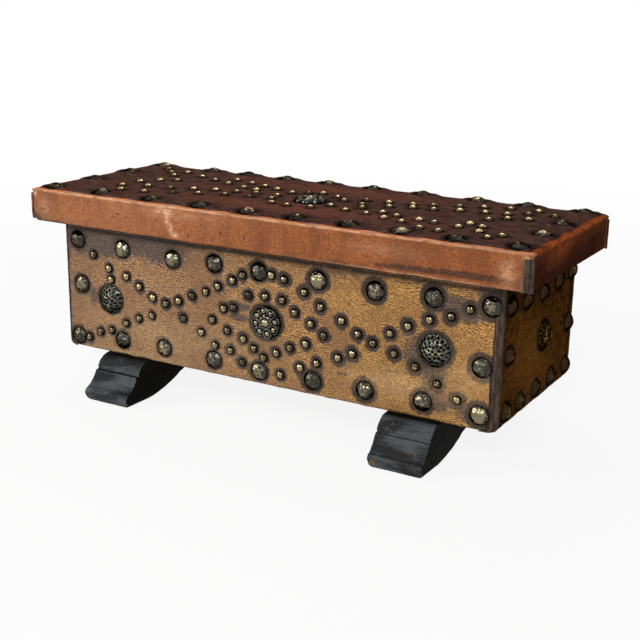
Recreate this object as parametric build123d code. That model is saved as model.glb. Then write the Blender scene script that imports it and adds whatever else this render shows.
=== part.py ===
from build123d import *
import os

os.makedirs("parts", exist_ok=True)

# An old leather-covered wooden box with a hinged lid, studded with brass nails,
# on two moulded runner feet. Millimetres, +Z up, +X to the right of the front.
# The origin is on the ground, under the middle of the box. The front faces -Y.

# Case, outside sizes over the leather
case_length = 320.4
case_depth = 124.6
case_height = 88.7
board = 10.0
leather = 1.6

# Lid, outside sizes over the leather
lid_length = 360.0
lid_depth = 136.2
lid_height = 22.1
band_turn = 4.0
arris_radius = 1.2

# Runner feet
foot_height = 28.5
foot_width = 36.0
foot_places = {"left": -109.5, "right": 107.5}
foot_reach = 87.2

# Corner strips: width on the long faces by corner, lap on the ends, thickness, share of it worn round
strip_widths = {"front_left": 3.2, "front_right": 6.8, "back_left": 6.5, "back_right": 6.5}
strip_lap = 3.5
strip_round = 0.8
strip_drop = 1.0
case_strip = 1.2
lid_strip = 0.8

# Linings
floor_pad = 4.0
wall_lining = 1.6
lid_pad = 2.2
lid_pad_margin = 4.0
lid_pad_corner = 5.0
lining_drop = 3.5
soft_gap = 0.2

# Butt hinges
hinge_x = 95.0
hinge_length = 38.0
hinge_leaf_depth = 9.7
leaf_thickness = 1.1
leaf_gap = 0.05
knuckle_radius = 2.3
pin_radius = 1.2
pin_fixed_gap = 0.01
pin_running_gap = 0.05
knuckle_gap = 0.3
hinge_clearance = 0.2

# Nails: head radius, head height, shank radius, shank length
large_nail = (6.3, 3.85, 1.1, 9.0)
lid_nail = (6.5, 3.8, 1.1, 9.0)
small_nail = (3.0, 2.3, 0.7, 7.0)
boss_nail = (10.2, 5.0, 1.5, 9.0)
rosette_nail = (11.0, 1.4, 1.5, 9.0)
hole_gap = 0.04

# Screws and brads
hinge_screw = (2.1, 1.05, 1.05, 8.0)
hinge_screw_steps = (-13, 0, 13)
hinge_screw_share = 0.56
foot_screw = (3.4, 2.2, 1.7, 20.0)
foot_screw_head = 18.0
foot_screw_ys = (-26, 26)
well_radius = 3.8
brad = (1.4, 0.6, 0.8, 24.0)
brad_heights = (20, 33, 62)

# Heights and faces that follow from the sizes above
case_bottom = foot_height
case_top = case_bottom + case_height
half_length = case_length / 2
half_depth = case_depth / 2
lid_top = case_top + lid_height
lid_half = lid_length / 2
lid_back = half_depth
lid_front = lid_back - lid_depth
lid_middle = (lid_front + lid_back) / 2
inner_x = half_length - leather - board
inner_y = half_depth - leather - board
hinge_y = half_depth + knuckle_radius + hinge_clearance

# Nail places on the front: millimetres right of the middle and below the case top
front_large = [
    (-150, -12), (-111, -14), (-69, -15.5), (-36, -14), (-2, -14.5),
    (41, -14), (80, -15), (118, -13.5), (154, -13.5),
    (-152, -81), (-113, -78), (-77.5, -77.5), (-37, -78.5), (-1.5, -80),
    (38, -79), (75, -78), (113.5, -77.5), (149.5, -79),
    (-147.5, -43), (149.5, -50),
]
front_chains = {
    "upper left arm": [(-136, -21), (-123, -29), (-108, -32.5), (-97, -38), (-86, -44), (-75, -46.5)],
    "lower left arm": [(-142.5, -80.5), (-132, -75), (-122, -72.5), (-109, -65.5), (-98, -60.5), (-87, -56.5)],
    "upper right arm": [(91, -39.5), (102.5, -33), (116, -27), (129.5, -23), (141, -17)],
    "lower right arm": [(94, -51.5), (108, -57), (122.5, -65), (135.5, -72.5)],
    "large diamond, upper left": [
        (-64.5, -43), (-53.5, -38), (-42.5, -33.5), (-33, -28.5), (-21.5, -23), (-14, -18.5)],
    "large diamond, upper right": [
        (7.5, -15.5), (17, -17), (31.5, -23), (43, -30.5), (58, -37), (69.5, -43.5), (79.5, -47.5)],
    "large diamond, lower left": [(-61, -54.5), (-46.5, -61.5), (-35.5, -68.5), (-23.5, -70), (-14.5, -76.5)],
    "large diamond, lower right": [(14.5, -79.5), (29, -72), (41, -67), (56, -61), (66, -56.5)],
    "small diamond, upper": [
        (-37.5, -51.5), (-28.5, -42.5), (-21, -41), (-9.5, -31), (3, -30), (15.5, -30.5),
        (25, -37), (36.5, -42.5), (45.5, -48.5)],
    "small diamond, lower": [
        (33, -56), (21.5, -60.5), (11.5, -65.5), (2, -70.5), (-5.5, -65.5), (-13.5, -60.5), (-26, -57)],
    "beside the left boss": [(-121.5, -36.5)],
}
front_bosses = {"left": (-122.5, -50.5), "right": (120, -45)}
front_rosette = (4, -46.5)

# Nail places on the ends: millimetres back from the front edge and below the case top
end_large = [
    (13.5, -15), (38, -17), (66, -18), (94, -17), (118, -15),
    (13.5, -79), (36, -79.5), (63, -79), (90, -79), (118, -79),
    (14, -45), (118, -50),
]
end_boss = (71, -47)

# Nail places on the back: millimetres from the middle and below the case top
back_large = [(x, z) for z in (-14.5, -78.5) for x in (-150, -113, -75, -38, 0, 38, 75, 113, 150)]
back_large += [(-149, -46), (149, -46)]

# Nail places on the lid: millimetres right of and behind its middle
lid_large = (
    [(x, -58.5) for x in (-166, -126, -84, -45, -9, 26, 62, 97, 131, 168)]
    + [(x, 58) for x in (-163, -117, -86, -53, -18, 17.5, 55, 94.5, 129.5, 167)]
    + [(-166, -18), (-166, 21), (168, -21), (168.5, 14)]
)
lid_chains = {
    "left, front outer": [(-125, -39.5), (-106, -38), (-88.5, -30), (-72, -23.5), (-55.5, -16)],
    "left, front inner": [(-118, -19), (-100.5, -17), (-85, -11), (-70.5, -5.5), (-55, -3)],
    "left, back outer": [(-130, 43), (-110.5, 34), (-94, 27), (-78.5, 21.5), (-60.5, 14)],
    "left, back inner": [(-81, 36), (-65, 31), (-51, 26), (-37.5, 20.5), (-22, 15)],
    "left end": [(-152, 49), (-141, 37.5), (-131, 27.5), (-115.5, 11), (-126, 5), (-134, -7.5), (-135, -26)],
    "left crossing": [(-48, 10.5), (-41.5, 0.5), (-38, -13)],
    "middle, front": [(-25, 0.5), (-22, -11), (-14, -23.5), (-1, -25.5), (15, -23), (22.5, -10.5)],
    "middle, back": [(-12.5, 21), (-3.5, 25), (12, 17.5), (21, 10)],
    "right crossing": [(37.5, 4), (42.5, -5), (38, -19)],
    "right, back outer": [
        (33, 19), (48.5, 20.5), (64.5, 23), (77, 27.5), (92.5, 34), (107, 40), (123, 45), (141, 47)],
    "right, back inner": [
        (55, 8), (69, 13.5), (83, 15), (98, 21.5), (114, 24.5), (128, 26.5), (139, 34), (155, 37)],
    "right, front outer": [(54, -21.5), (69, -26.5), (83.5, -31.5), (100, -41.5), (113, -43.5), (144, -45)],
    "right, front inner": [
        (61, -12.5), (73, -17), (89.5, -20), (101, -23), (118, -26), (133.5, -32), (149, -35.5)],
    "right end": [(145, 18), (133, 13.5), (124.5, 4.5), (120, -13.5), (130, -18.5)],
}
lid_rosette = (3, -3)


def block(x, y, z):
    """A box between two limits on each axis."""
    size = (x[1] - x[0], y[1] - y[0], z[1] - z[0])
    middle = (sum(x) / 2, sum(y) / 2, sum(z) / 2)
    return Pos(*middle) * Box(*size)


def group(solids):
    """Separate solids kept together as one sub-part."""
    return Compound(children=list(solids))


def turned(edges):
    """A solid of revolution about Z, from the edges of its outline in radius and height."""
    return revolve(Plane.XZ * make_face(edges), Axis.Z)


def dome_nail(size):
    """A nail with a domed head, seated at height 0 with its shank down."""
    radius, height, shank, length = size
    rim = 0.4
    sphere = (radius**2 + (height - rim) ** 2) / (2 * (height - rim))
    shoulder = radius * 0.7
    shoulder_height = height - sphere + (sphere**2 - shoulder**2) ** 0.5
    return turned([
        Line((0, height), (0, -length)),
        Line((0, -length), (shank, -length + 2 * shank)),
        Line((shank, -length + 2 * shank), (shank, 0)),
        Line((shank, 0), (radius, 0)),
        Line((radius, 0), (radius, rim)),
        ThreePointArc((radius, rim), (shoulder, shoulder_height), (0, height)),
    ])


def flower_nail(size):
    """A stamped rosette: a disc with a raised middle bead and a ring of petal beads."""
    radius, height, shank, length = size
    petals = 8
    petal_radius = 2.7
    middle_radius = 3.4
    margin = 1.0
    slope = 0.8
    ring = radius - petal_radius - margin
    disc = turned([
        Line((0, height), (0, -length)),
        Line((0, -length), (shank, -length + 2 * shank)),
        Line((shank, -length + 2 * shank), (shank, 0)),
        Line((shank, 0), (radius, 0)),
        Line((radius, 0), (radius - slope, height)),
        Line((radius - slope, height), (0, height)),
    ])
    beads = [Pos(0, 0, height) * Sphere(middle_radius)]
    beads += [loc * Sphere(petal_radius) for loc in PolarLocations(ring, petals)]
    above = block((-radius, radius), (-radius, radius), (height / 2, 2 * radius))
    return disc + [bead & above for bead in beads]


def flat_screw(size):
    """A countersunk screw with its flat head at height 0 and its shank down."""
    radius, head, shank, length = size
    return turned([
        Line((0, 0), (0, -length)),
        Line((0, -length), (shank, -length + 2 * shank)),
        Line((shank, -length + 2 * shank), (shank, -head)),
        Line((shank, -head), (radius, 0)),
        Line((radius, 0), (0, 0)),
    ])


def shank_hole(size):
    """The hole that a nail's shank fills, a hair wider than the shank."""
    radius = size[2] + hole_gap
    length = size[3] + hole_gap
    return Cylinder(radius, length + 1, align=(Align.CENTER, Align.CENTER, Align.MIN)).moved(
        Location((0, 0, -length)))


def screw_hole(size):
    """The countersunk hole that a screw fills."""
    radius, head, shank, length = size
    bore = Pos(0, 0, -length - hole_gap) * Cylinder(
        shank + hole_gap, length, align=(Align.CENTER, Align.CENTER, Align.MIN))
    sink = Pos(0, 0, -head) * Cone(
        shank + hole_gap, radius + hole_gap, head, align=(Align.CENTER, Align.CENTER, Align.MIN))
    return bore + sink


def drilled(piece, holes):
    """The piece with every hole that reaches into it."""
    limits = piece.bounding_box()
    hits = [hole for hole in holes if limits.overlaps(hole.bounding_box())]
    return piece - hits if hits else piece


def on_front(place):
    return Location((place[0], -half_depth, case_top + place[1]), (90, 0, 0))


def on_back(place):
    return Location((place[0], half_depth, case_top + place[1]), (-90, 0, 0))


def on_right(place):
    return Location((half_length, place[0] - half_depth, case_top + place[1]), (0, 90, 0))


def on_left(place):
    return Location((-half_length, place[0] - half_depth, case_top + place[1]), (0, -90, 0))


def on_lid(place):
    return Location((place[0], lid_middle + place[1], lid_top))


def chain_places(chains):
    return [place for chain in chains.values() for place in chain]


nodes = {}
holes = []
head_rooms = []


def nail_group(name, size, where, places):
    """Nails of one kind on one face, with the holes that they fill."""
    make = flower_nail if size is rosette_nail else dome_nail
    nail = make(size)
    hole = shank_hole(size)
    nodes[name] = group([nail.moved(where(place)) for place in places])
    holes.extend(hole.moved(where(place)) for place in places)
    room = Cylinder(size[0] + soft_gap, 2 * case_strip + soft_gap)
    head_rooms.extend(room.moved(where(place)) for place in places)


nail_group("front_large_nails", large_nail, on_front, front_large)
nail_group("front_small_nails", small_nail, on_front, chain_places(front_chains))
for side, place in front_bosses.items():
    nail_group(f"front_boss_{side}", boss_nail, on_front, [place])
nail_group("front_rosette", rosette_nail, on_front, [front_rosette])
for side, where in (("left", on_left), ("right", on_right)):
    nail_group(f"{side}_end_nails", large_nail, where, end_large)
    nail_group(f"{side}_end_boss", boss_nail, where, [end_boss])
nail_group("back_nails", large_nail, on_back, back_large)
nail_group("lid_large_nails", lid_nail, on_lid, lid_large)
nail_group("lid_small_nails", small_nail, on_lid, chain_places(lid_chains))
nail_group("lid_rosette", rosette_nail, on_lid, [lid_rosette])

# Brads through the long boards into the end boards
brad_places = [
    Location((x, y * (half_depth - leather), case_bottom + z), (-90 * y, 0, 0))
    for x in (-half_length + leather + board / 2, half_length - leather - board / 2)
    for y in (-1, 1)
    for z in brad_heights
]
nodes["case_brads"] = group([flat_screw(brad).moved(place) for place in brad_places])
holes += [screw_hole(brad).moved(place) for place in brad_places]

# Screws up through the runners into the bottom board
foot_screw_places = [
    Location((x, y, foot_screw_head), (180, 0, 0))
    for x in foot_places.values()
    for y in foot_screw_ys
]
nodes["foot_screws"] = group([flat_screw(foot_screw).moved(place) for place in foot_screw_places])
holes += [screw_hole(foot_screw).moved(place) for place in foot_screw_places]

# Hinge screws: down into the back board, up into the lid plank
screw_y = inner_y + board * hinge_screw_share
screw_xs = [side * hinge_x + step for side in (-1, 1) for step in hinge_screw_steps]
body_screw_places = [Location((x, screw_y, case_top - leaf_gap)) for x in screw_xs]
lid_screw_places = [Location((x, screw_y, case_top + leaf_gap), (180, 0, 0)) for x in screw_xs]
for name, places in (("body_hinge_screws", body_screw_places), ("lid_hinge_screws", lid_screw_places)):
    nodes[name] = group([flat_screw(hinge_screw).moved(place) for place in places])
    holes += [screw_hole(hinge_screw).moved(place) for place in places]

# Hinges: each has a body leaf with two knuckles, a lid leaf with one, and a pin
leaf_front = half_depth - hinge_leaf_depth
third = hinge_length / 3


def leaf(middle, side, spans, bore):
    """A hinge leaf below (side -1) or above (side 1) the seam, with knuckles on the spans."""
    heights = sorted((case_top + side * leaf_gap, case_top + side * (leaf_gap + leaf_thickness)))
    ends = (middle - hinge_length / 2, middle + hinge_length / 2)
    plate = block(ends, (leaf_front, half_depth), heights)
    for start, end in spans:
        place = Location(((start + end) / 2, hinge_y, case_top), (0, 90, 0))
        barrel = place * Cylinder(knuckle_radius, end - start)
        hollow = place * Cylinder(pin_radius + bore, end - start)
        web = block((start, end), (half_depth, hinge_y), heights)
        plate = plate + (web + barrel - hollow)
    return plate


for side, sign in (("left", -1), ("right", 1)):
    middle = sign * hinge_x
    first = middle - hinge_length / 2
    outer = [(first, first + third - knuckle_gap), (first + 2 * third + knuckle_gap, first + hinge_length)]
    inner = [(first + third, first + 2 * third)]
    nodes[f"{side}_hinge_body_leaf"] = drilled(leaf(middle, -1, outer, pin_fixed_gap), holes)
    nodes[f"{side}_hinge_lid_leaf"] = drilled(leaf(middle, 1, inner, pin_running_gap), holes)
    nodes[f"{side}_hinge_pin"] = Location((middle, hinge_y, case_top), (0, 90, 0)) * Cylinder(
        pin_radius, hinge_length)

# Shallow recesses that the leaves lie in
recess = leaf_thickness + 2 * leaf_gap
for sign in (-1, 1):
    x_limits = (sign * hinge_x - hinge_length / 2 - soft_gap, sign * hinge_x + hinge_length / 2 + soft_gap)
    y_limits = (leaf_front - soft_gap, half_depth + 1)
    holes.append(block(x_limits, y_limits, (case_top - recess, case_top + recess)))

# Case boards: the long boards cover the ends of the short ones, the bottom is let in
board_x = half_length - leather
board_y = half_depth - leather
case_z = (case_bottom, case_top)
for side, sign in (("front", -1), ("back", 1)):
    y_limits = sorted((sign * inner_y, sign * board_y))
    nodes[f"{side}_board"] = block((-board_x, board_x), y_limits, case_z)
    y_limits = sorted((sign * board_y, sign * half_depth))
    nodes[f"{side}_leather"] = block((-half_length, half_length), y_limits, case_z)
for side, sign in (("left", -1), ("right", 1)):
    x_limits = sorted((sign * inner_x, sign * board_x))
    nodes[f"{side}_board"] = block(x_limits, (-inner_y, inner_y), case_z)
    x_limits = sorted((sign * board_x, sign * half_length))
    nodes[f"{side}_leather"] = block(x_limits, (-board_y, board_y), case_z)
nodes["bottom_board"] = block((-inner_x, inner_x), (-inner_y, inner_y), (case_bottom, case_bottom + board))


def corner_strip(x, y, x_sign, y_sign, width, thickness, z_limits):
    """A strip folded round an upright corner: wide on the long face, narrow on the end."""
    outer_x = x + thickness * x_sign
    outer_y = y + thickness * y_sign
    wide = block(sorted((x - width * x_sign, outer_x)), sorted((y, outer_y)), z_limits)
    lap = block(sorted((x, outer_x)), sorted((y - strip_lap * y_sign, outer_y)), z_limits)
    strip = wide + lap
    corner = strip.edges().filter_by(Axis.Z).sort_by(Axis.X if x_sign > 0 else -Axis.X)[-2:]
    corner = corner.sort_by(Axis.Y if y_sign > 0 else -Axis.Y)[-1]
    return fillet(corner, thickness * strip_round)


for y_name, y_sign, lid_y in (("front", -1, lid_front), ("back", 1, lid_back)):
    for x_name, x_sign in (("left", -1), ("right", 1)):
        corner = f"{y_name}_{x_name}"
        width = strip_widths[corner]
        strip = corner_strip(
            x_sign * half_length, y_sign * half_depth, x_sign, y_sign, width, case_strip, case_z)
        nodes[f"case_strip_{corner}"] = drilled(strip, head_rooms)
        nodes[f"lid_strip_{corner}"] = corner_strip(
            x_sign * lid_half, lid_y, x_sign, y_sign, width, lid_strip, (case_top, lid_top - strip_drop))

# Linings of the case
floor_top = case_bottom + board + floor_pad
lining_z = (floor_top + soft_gap, case_top - lining_drop)
nodes["floor_lining"] = block(
    (-inner_x + soft_gap, inner_x - soft_gap),
    (-inner_y + soft_gap, inner_y - soft_gap),
    (case_bottom + board, floor_top))
for side, sign in (("front", -1), ("back", 1)):
    y_limits = sorted((sign * (inner_y - wall_lining), sign * inner_y))
    nodes[f"{side}_lining"] = block((-inner_x, inner_x), y_limits, lining_z)
for side, sign in (("left", -1), ("right", 1)):
    x_limits = sorted((sign * (inner_x - wall_lining), sign * inner_x))
    y_limit = inner_y - wall_lining - soft_gap
    nodes[f"{side}_lining"] = block(x_limits, (-y_limit, y_limit), lining_z)

# Runner feet: a moulded toe at each end and a low arch between two flat pads.
# They were shaped by hand, so the toes of the two differ a little.
toes = {
    "left": [
        Line((0, case_bottom), (-61.8, case_bottom)),
        ThreePointArc((-61.8, case_bottom), (-69.2, 26.0), (-73.0, 21.2)),
        Line((-73.0, 21.2), (-73.0, 20.4)),
        Line((-73.0, 20.4), (-72.0, 20.4)),
        Line((-72.0, 20.4), (-72.0, 19.4)),
        Line((-72.0, 19.4), (-75.4, 19.4)),
        ThreePointArc((-75.4, 19.4), (-78.9, 13.4), (-84.6, 9.2)),
        ThreePointArc((-84.6, 9.2), (-foot_reach, 5.2), (-85.2, 0.8)),
        Line((-85.2, 0.8), (-83.8, 0)),
        Line((-83.8, 0), (-60, 0)),
    ],
    "right": [
        Line((0, case_bottom), (-65.4, case_bottom)),
        ThreePointArc((-65.4, case_bottom), (-70.6, 25.2), (-74.2, 20.8)),
        Line((-74.2, 20.8), (-74.2, 20.2)),
        Line((-74.2, 20.2), (-73.2, 20.2)),
        Line((-73.2, 20.2), (-73.2, 19.2)),
        Line((-73.2, 19.2), (-75.6, 19.2)),
        ThreePointArc((-75.6, 19.2), (-78.8, 13.9), (-82.8, 9.0)),
        Line((-82.8, 9.0), (-84.6, 8.2)),
        ThreePointArc((-84.6, 8.2), (-85.6, 4.6), (-84.4, 1.0)),
        Line((-84.4, 1.0), (-83.0, 0)),
        Line((-83.0, 0), (-60, 0)),
    ],
}
arch = [
    ThreePointArc((-60, 0), (-44, 3.0), (-27, 10.2)),
    ThreePointArc((-27, 10.2), (-14, 12.8), (0, 13.7)),
    Line((0, 13.7), (0, case_bottom)),
]
well = Cylinder(well_radius, foot_screw_head, align=(Align.CENTER, Align.CENTER, Align.MIN))
screw_wells = [Pos(0, y, 0) * well for y in foot_screw_ys]
for side, x in foot_places.items():
    half_runner = extrude(Plane.YZ * make_face(toes[side] + arch), foot_width / 2, both=True)
    runner = half_runner + half_runner.mirror(Plane.XZ)
    nodes[f"foot_runner_{side}"] = Pos(x, 0, 0) * (runner - screw_wells)

# Lid: one plank with leather below, a panel on top and bands that turn over the top edge
plank_x = lid_half - leather
plank_y = (lid_front + leather, lid_back - leather)
top_x = lid_half - band_turn
top_y = (lid_front + band_turn, lid_back - band_turn)
skin_z = (lid_top - leather, lid_top)
plank_z = (case_top + leather, lid_top - leather)
nodes["lid_plank"] = block((-plank_x, plank_x), plank_y, plank_z)
nodes["lid_under_leather"] = block((-plank_x, plank_x), plank_y, (case_top, case_top + leather))
nodes["lid_top_leather"] = block((-top_x, top_x), top_y, skin_z)


def lid_band(upright, flap, direction):
    """An edge band: an upright strip with a flap over the top, its outer top arris worn round."""
    band = upright + flap
    along = Axis.X if direction.X == 0 else Axis.Y
    outward = Axis((0, 0, 0), direction)
    top_edges = band.edges().filter_by(along).group_by(Axis.Z)[-1]
    return fillet(top_edges.sort_by(outward)[-1], arris_radius)


for side, sign, outer, face, turn in (
    ("front", -1, lid_front, plank_y[0], top_y[0]),
    ("back", 1, lid_back, plank_y[1], top_y[1]),
):
    upright = block((-lid_half, lid_half), sorted((outer, face)), (case_top, lid_top))
    flap = block((-lid_half, lid_half), sorted((outer, turn)), skin_z)
    nodes[f"lid_{side}_band"] = lid_band(upright, flap, Vector(0, sign, 0))
for side, sign in (("left", -1), ("right", 1)):
    upright = block(sorted((sign * plank_x, sign * lid_half)), plank_y, (case_top, skin_z[0]))
    flap = block(sorted((sign * top_x, sign * lid_half)), top_y, skin_z)
    nodes[f"lid_{side}_band"] = lid_band(upright, flap, Vector(sign, 0, 0))

pad_x = inner_x - wall_lining - lid_pad_margin
pad_y = inner_y - wall_lining - lid_pad_margin
pad = block((-pad_x, pad_x), (-pad_y, pad_y), (case_top - lid_pad, case_top))
nodes["lid_lining"] = fillet(pad.edges().filter_by(Axis.Z), lid_pad_corner)

# Every piece that a nail, screw, brad or hinge leaf goes into gets its holes
for name in list(nodes):
    if name.endswith(("_board", "_leather", "_plank", "_band")) or name.startswith("foot_runner"):
        nodes[name] = drilled(nodes[name], holes)

for name, shape in nodes.items():
    export_step(shape, f"parts/{name}.step")
print(len(nodes), "sub-parts,", sum(len(shape.solids()) for shape in nodes.values()), "solids")
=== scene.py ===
import math
import random

import bmesh
import bpy
import numpy as np
from mathutils import Matrix, Vector, noise


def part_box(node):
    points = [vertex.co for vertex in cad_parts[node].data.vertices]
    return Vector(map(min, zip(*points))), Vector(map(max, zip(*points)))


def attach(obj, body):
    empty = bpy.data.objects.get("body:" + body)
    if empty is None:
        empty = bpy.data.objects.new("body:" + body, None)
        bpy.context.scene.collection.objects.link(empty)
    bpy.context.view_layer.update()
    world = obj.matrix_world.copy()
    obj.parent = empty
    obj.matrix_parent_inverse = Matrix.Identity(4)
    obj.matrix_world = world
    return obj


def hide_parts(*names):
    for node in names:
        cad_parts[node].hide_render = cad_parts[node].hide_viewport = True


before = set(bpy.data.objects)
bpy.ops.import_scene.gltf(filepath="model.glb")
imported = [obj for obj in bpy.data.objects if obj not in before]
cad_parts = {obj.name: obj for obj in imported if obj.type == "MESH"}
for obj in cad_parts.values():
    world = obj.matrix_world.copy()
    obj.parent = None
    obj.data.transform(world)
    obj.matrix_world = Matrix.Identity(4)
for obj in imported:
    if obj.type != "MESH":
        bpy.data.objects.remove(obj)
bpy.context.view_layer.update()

# An old wooden box covered in leather and studded with brass nails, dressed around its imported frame.
# Lengths in the dictionaries are millimetres, but metres for the lamps and the floor, as in the meshes.
mm = 0.001
print("frame loaded,", len(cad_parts), "nodes")

# Camera, floor and lights

camera = {
    "place": (381.0, -646.5, 274.9),
    "azimuth": 30.076,
    "elevation": 16.237,
    "roll": 0.901,
    "lens": 64.69,
    "sensor": 36,
    "near": 10,
}


def wayOut(azimuth, elevation):
    # from the box to a camera or a lamp, by degrees round from its front and up
    around, up = math.radians(azimuth), math.radians(elevation)
    return Vector((math.sin(around) * math.cos(up), -math.cos(around) * math.cos(up), math.sin(up)))


def makeCamera():
    data = bpy.data.cameras.new("camera")
    data.lens = camera["lens"]
    data.sensor_width = camera["sensor"]
    data.clip_start = camera["near"] * mm
    roll = math.radians(camera["roll"])
    back = wayOut(camera["azimuth"], camera["elevation"])
    right = Vector((0, 0, 1)).cross(back).normalized()
    above = back.cross(right)
    rolledRight = right * math.cos(roll) + above * math.sin(roll)
    rolledAbove = above * math.cos(roll) - right * math.sin(roll)
    made = bpy.data.objects.new("camera", data)
    made.matrix_world = Matrix((rolledRight, rolledAbove, back)).transposed().to_4x4()
    made.location = Vector(camera["place"]) * mm
    bpy.context.scene.collection.objects.link(made)
    bpy.context.scene.camera = made


lampAim = (0, 0, 80)  # a point in the box, in millimetres
lamps = {
    "window": {"way": (-50, 24), "distance": 1.3, "size": (0.42, 0.48), "power": 8.0},
    "sky light": {"way": (24, 32), "distance": 1.3, "size": (0.32, 0.26), "power": 5.8},
    "ceiling": {"way": (200, 52), "distance": 1.3, "size": (0.5, 0.3), "power": 3.5},
}


def makeLamps():
    for name, lamp in lamps.items():
        data = bpy.data.lights.new(name, "AREA")
        data.shape = "RECTANGLE"
        data.size, data.size_y = lamp["size"]
        data.energy = lamp["power"]
        back = wayOut(*lamp["way"])
        made = bpy.data.objects.new(name, data)
        made.location = Vector(lampAim) * mm + back * lamp["distance"]
        made.rotation_euler = back.to_track_quat("Z", "Y").to_euler()
        bpy.context.scene.collection.objects.link(made)


# Small helpers for node trees

def connect(tree, made, inputs):
    for key, value in inputs.items():
        if isinstance(value, bpy.types.NodeSocket):
            tree.links.new(value, made.inputs[key])
        else:
            made.inputs[key].default_value = value


def addNode(tree, kind, inputs=None, **settings):
    made = tree.nodes.new("ShaderNode" + kind)
    for key, value in settings.items():
        setattr(made, key, value)
    connect(tree, made, inputs or {})
    return made


def paint(red, green, blue):
    # screen values 0 to 255 into the linear colour that a shader takes
    parts = [c / 255 for c in (red, green, blue)]
    linear = [c / 12.92 if c <= 0.04045 else ((c + 0.055) / 1.055) ** 2.4 for c in parts]
    return (*linear, 1.0)


def calc(tree, operation, a, b):
    return addNode(tree, "Math", {0: a, 1: b}, operation=operation).outputs[0]


def plus(tree, a, b):
    return calc(tree, "ADD", a, b)


def times(tree, a, b):
    return calc(tree, "MULTIPLY", a, b)


def fade(tree, value, low, high, start=0.0, end=1.0):
    made = addNode(tree, "MapRange", {0: value, 1: low, 2: high, 3: start, 4: end})
    made.interpolation_type = "SMOOTHSTEP"
    return made.outputs[0]


def blendColours(tree, factor, a, b):
    return addNode(tree, "Mix", {0: factor, 6: a, 7: b}, data_type="RGBA").outputs[2]


def cloud(tree, coords, scale, detail=3.0, rough=0.55):
    inputs = {"Vector": coords, "Scale": scale, "Detail": detail, "Roughness": rough}
    return addNode(tree, "TexNoise", inputs).outputs["Fac"]


def stretched(tree, coords, scale, turn=(0, 0, 0)):
    turned = tuple(math.radians(a) for a in turn)
    return addNode(tree, "Mapping", {"Vector": coords, "Rotation": turned, "Scale": scale}).outputs[0]


def attribute(tree, name):
    return addNode(tree, "Attribute", attribute_name=name).outputs["Fac"]


def startFinish(name):
    # a new material, with Object coordinates counted in millimetres
    material = bpy.data.materials.new(name)
    material.use_nodes = True
    tree = material.node_tree
    shader = tree.nodes["Principled BSDF"]
    coords = addNode(tree, "TexCoord").outputs["Object"]
    inMillimetres = addNode(tree, "VectorMath", {0: coords, 3: 1 / mm}, operation="SCALE").outputs[0]
    return material, tree, shader, inMillimetres


def dress(tree, shader, height, depth, inputs):
    # a relief that many millimetres deep, and the shader's other inputs
    bump = addNode(tree, "Bump", {"Height": height, "Distance": depth * mm, "Strength": 1.0})
    connect(tree, shader, {**inputs, "Normal": bump.outputs[0]})


def seenRays(tree):
    # rays that show the background itself: the camera's, mirror rays and rays through glass
    rays = addNode(tree, "LightPath").outputs
    seen = calc(tree, "MAXIMUM", rays["Is Camera Ray"], rays["Is Glossy Ray"])
    return calc(tree, "MAXIMUM", seen, rays["Is Transmission Ray"])


skyLight = {"onBox": 0.32, "seen": 1.0}


def makeWorld():
    world = bpy.data.worlds.new("studio")
    bpy.context.scene.world = world
    world.use_nodes = True
    tree = world.node_tree
    strength = fade(tree, seenRays(tree), 0, 1, skyLight["onBox"], skyLight["seen"])
    connect(tree, tree.nodes["Background"], {"Color": (1, 1, 1, 1), "Strength": strength})


floorLook = {
    "reach": 4.0, "shade": paint(232, 231, 229), "rough": 0.9,
    # how far the floor is lifted to white near the box, and between which distances it clears to white
    "lift": 0.88, "clearFrom": 0.3, "clearTo": 1.1,
}


def makeFloor():
    bm = bmesh.new()
    bmesh.ops.create_grid(bm, x_segments=2, y_segments=2, size=floorLook["reach"])
    mesh = bpy.data.meshes.new("floor")
    bm.to_mesh(mesh)
    bm.free()
    floor = bpy.data.objects.new("floor", mesh)
    bpy.context.scene.collection.objects.link(floor)
    material, tree, shader, coords = startFinish("pale floor")
    connect(tree, shader, {"Base Color": floorLook["shade"], "Roughness": floorLook["rough"]})
    away = addNode(tree, "VectorMath", {0: coords}, operation="LENGTH").outputs["Value"]
    near, far = floorLook["clearFrom"] / mm, floorLook["clearTo"] / mm
    lift = times(tree, fade(tree, away, near, far, floorLook["lift"], 1.0), seenRays(tree))
    white = addNode(tree, "Emission", {"Color": (1, 1, 1, 1), "Strength": 1.0}).outputs[0]
    mixed = addNode(tree, "MixShader", {0: lift, 1: shader.outputs[0], 2: white}).outputs[0]
    tree.links.new(mixed, tree.nodes["Material Output"].inputs["Surface"])
    mesh.materials.append(material)


bpy.context.scene.view_settings.view_transform = "Standard"
makeCamera()
makeWorld()
makeFloor()
makeLamps()
print("camera, floor and lights made")

# Small helpers for meshes

faces = {  # which way is right, up and out for someone looking at each face of the box
    "front": ((1, 0, 0), (0, 0, 1), (0, -1, 0)),
    "back": ((-1, 0, 0), (0, 0, 1), (0, 1, 0)),
    "right": ((0, 1, 0), (0, 0, 1), (1, 0, 0)),
    "left": ((0, -1, 0), (0, 0, 1), (-1, 0, 0)),
    "top": ((1, 0, 0), (0, 1, 0), (0, 0, 1)),
}


def faceOf(node, side):
    # a matrix with its origin in the middle of the node's outer face, and half its width, height and depth
    low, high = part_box(node)
    axes = [Vector(axis) for axis in faces[side]]
    half = [abs((high - low).dot(axis)) / 2 for axis in axes]
    place = Matrix(axes).transposed().to_4x4()
    place.translation = (low + high) / 2 + axes[2] * half[2]
    return place, [h / mm for h in half]


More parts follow.
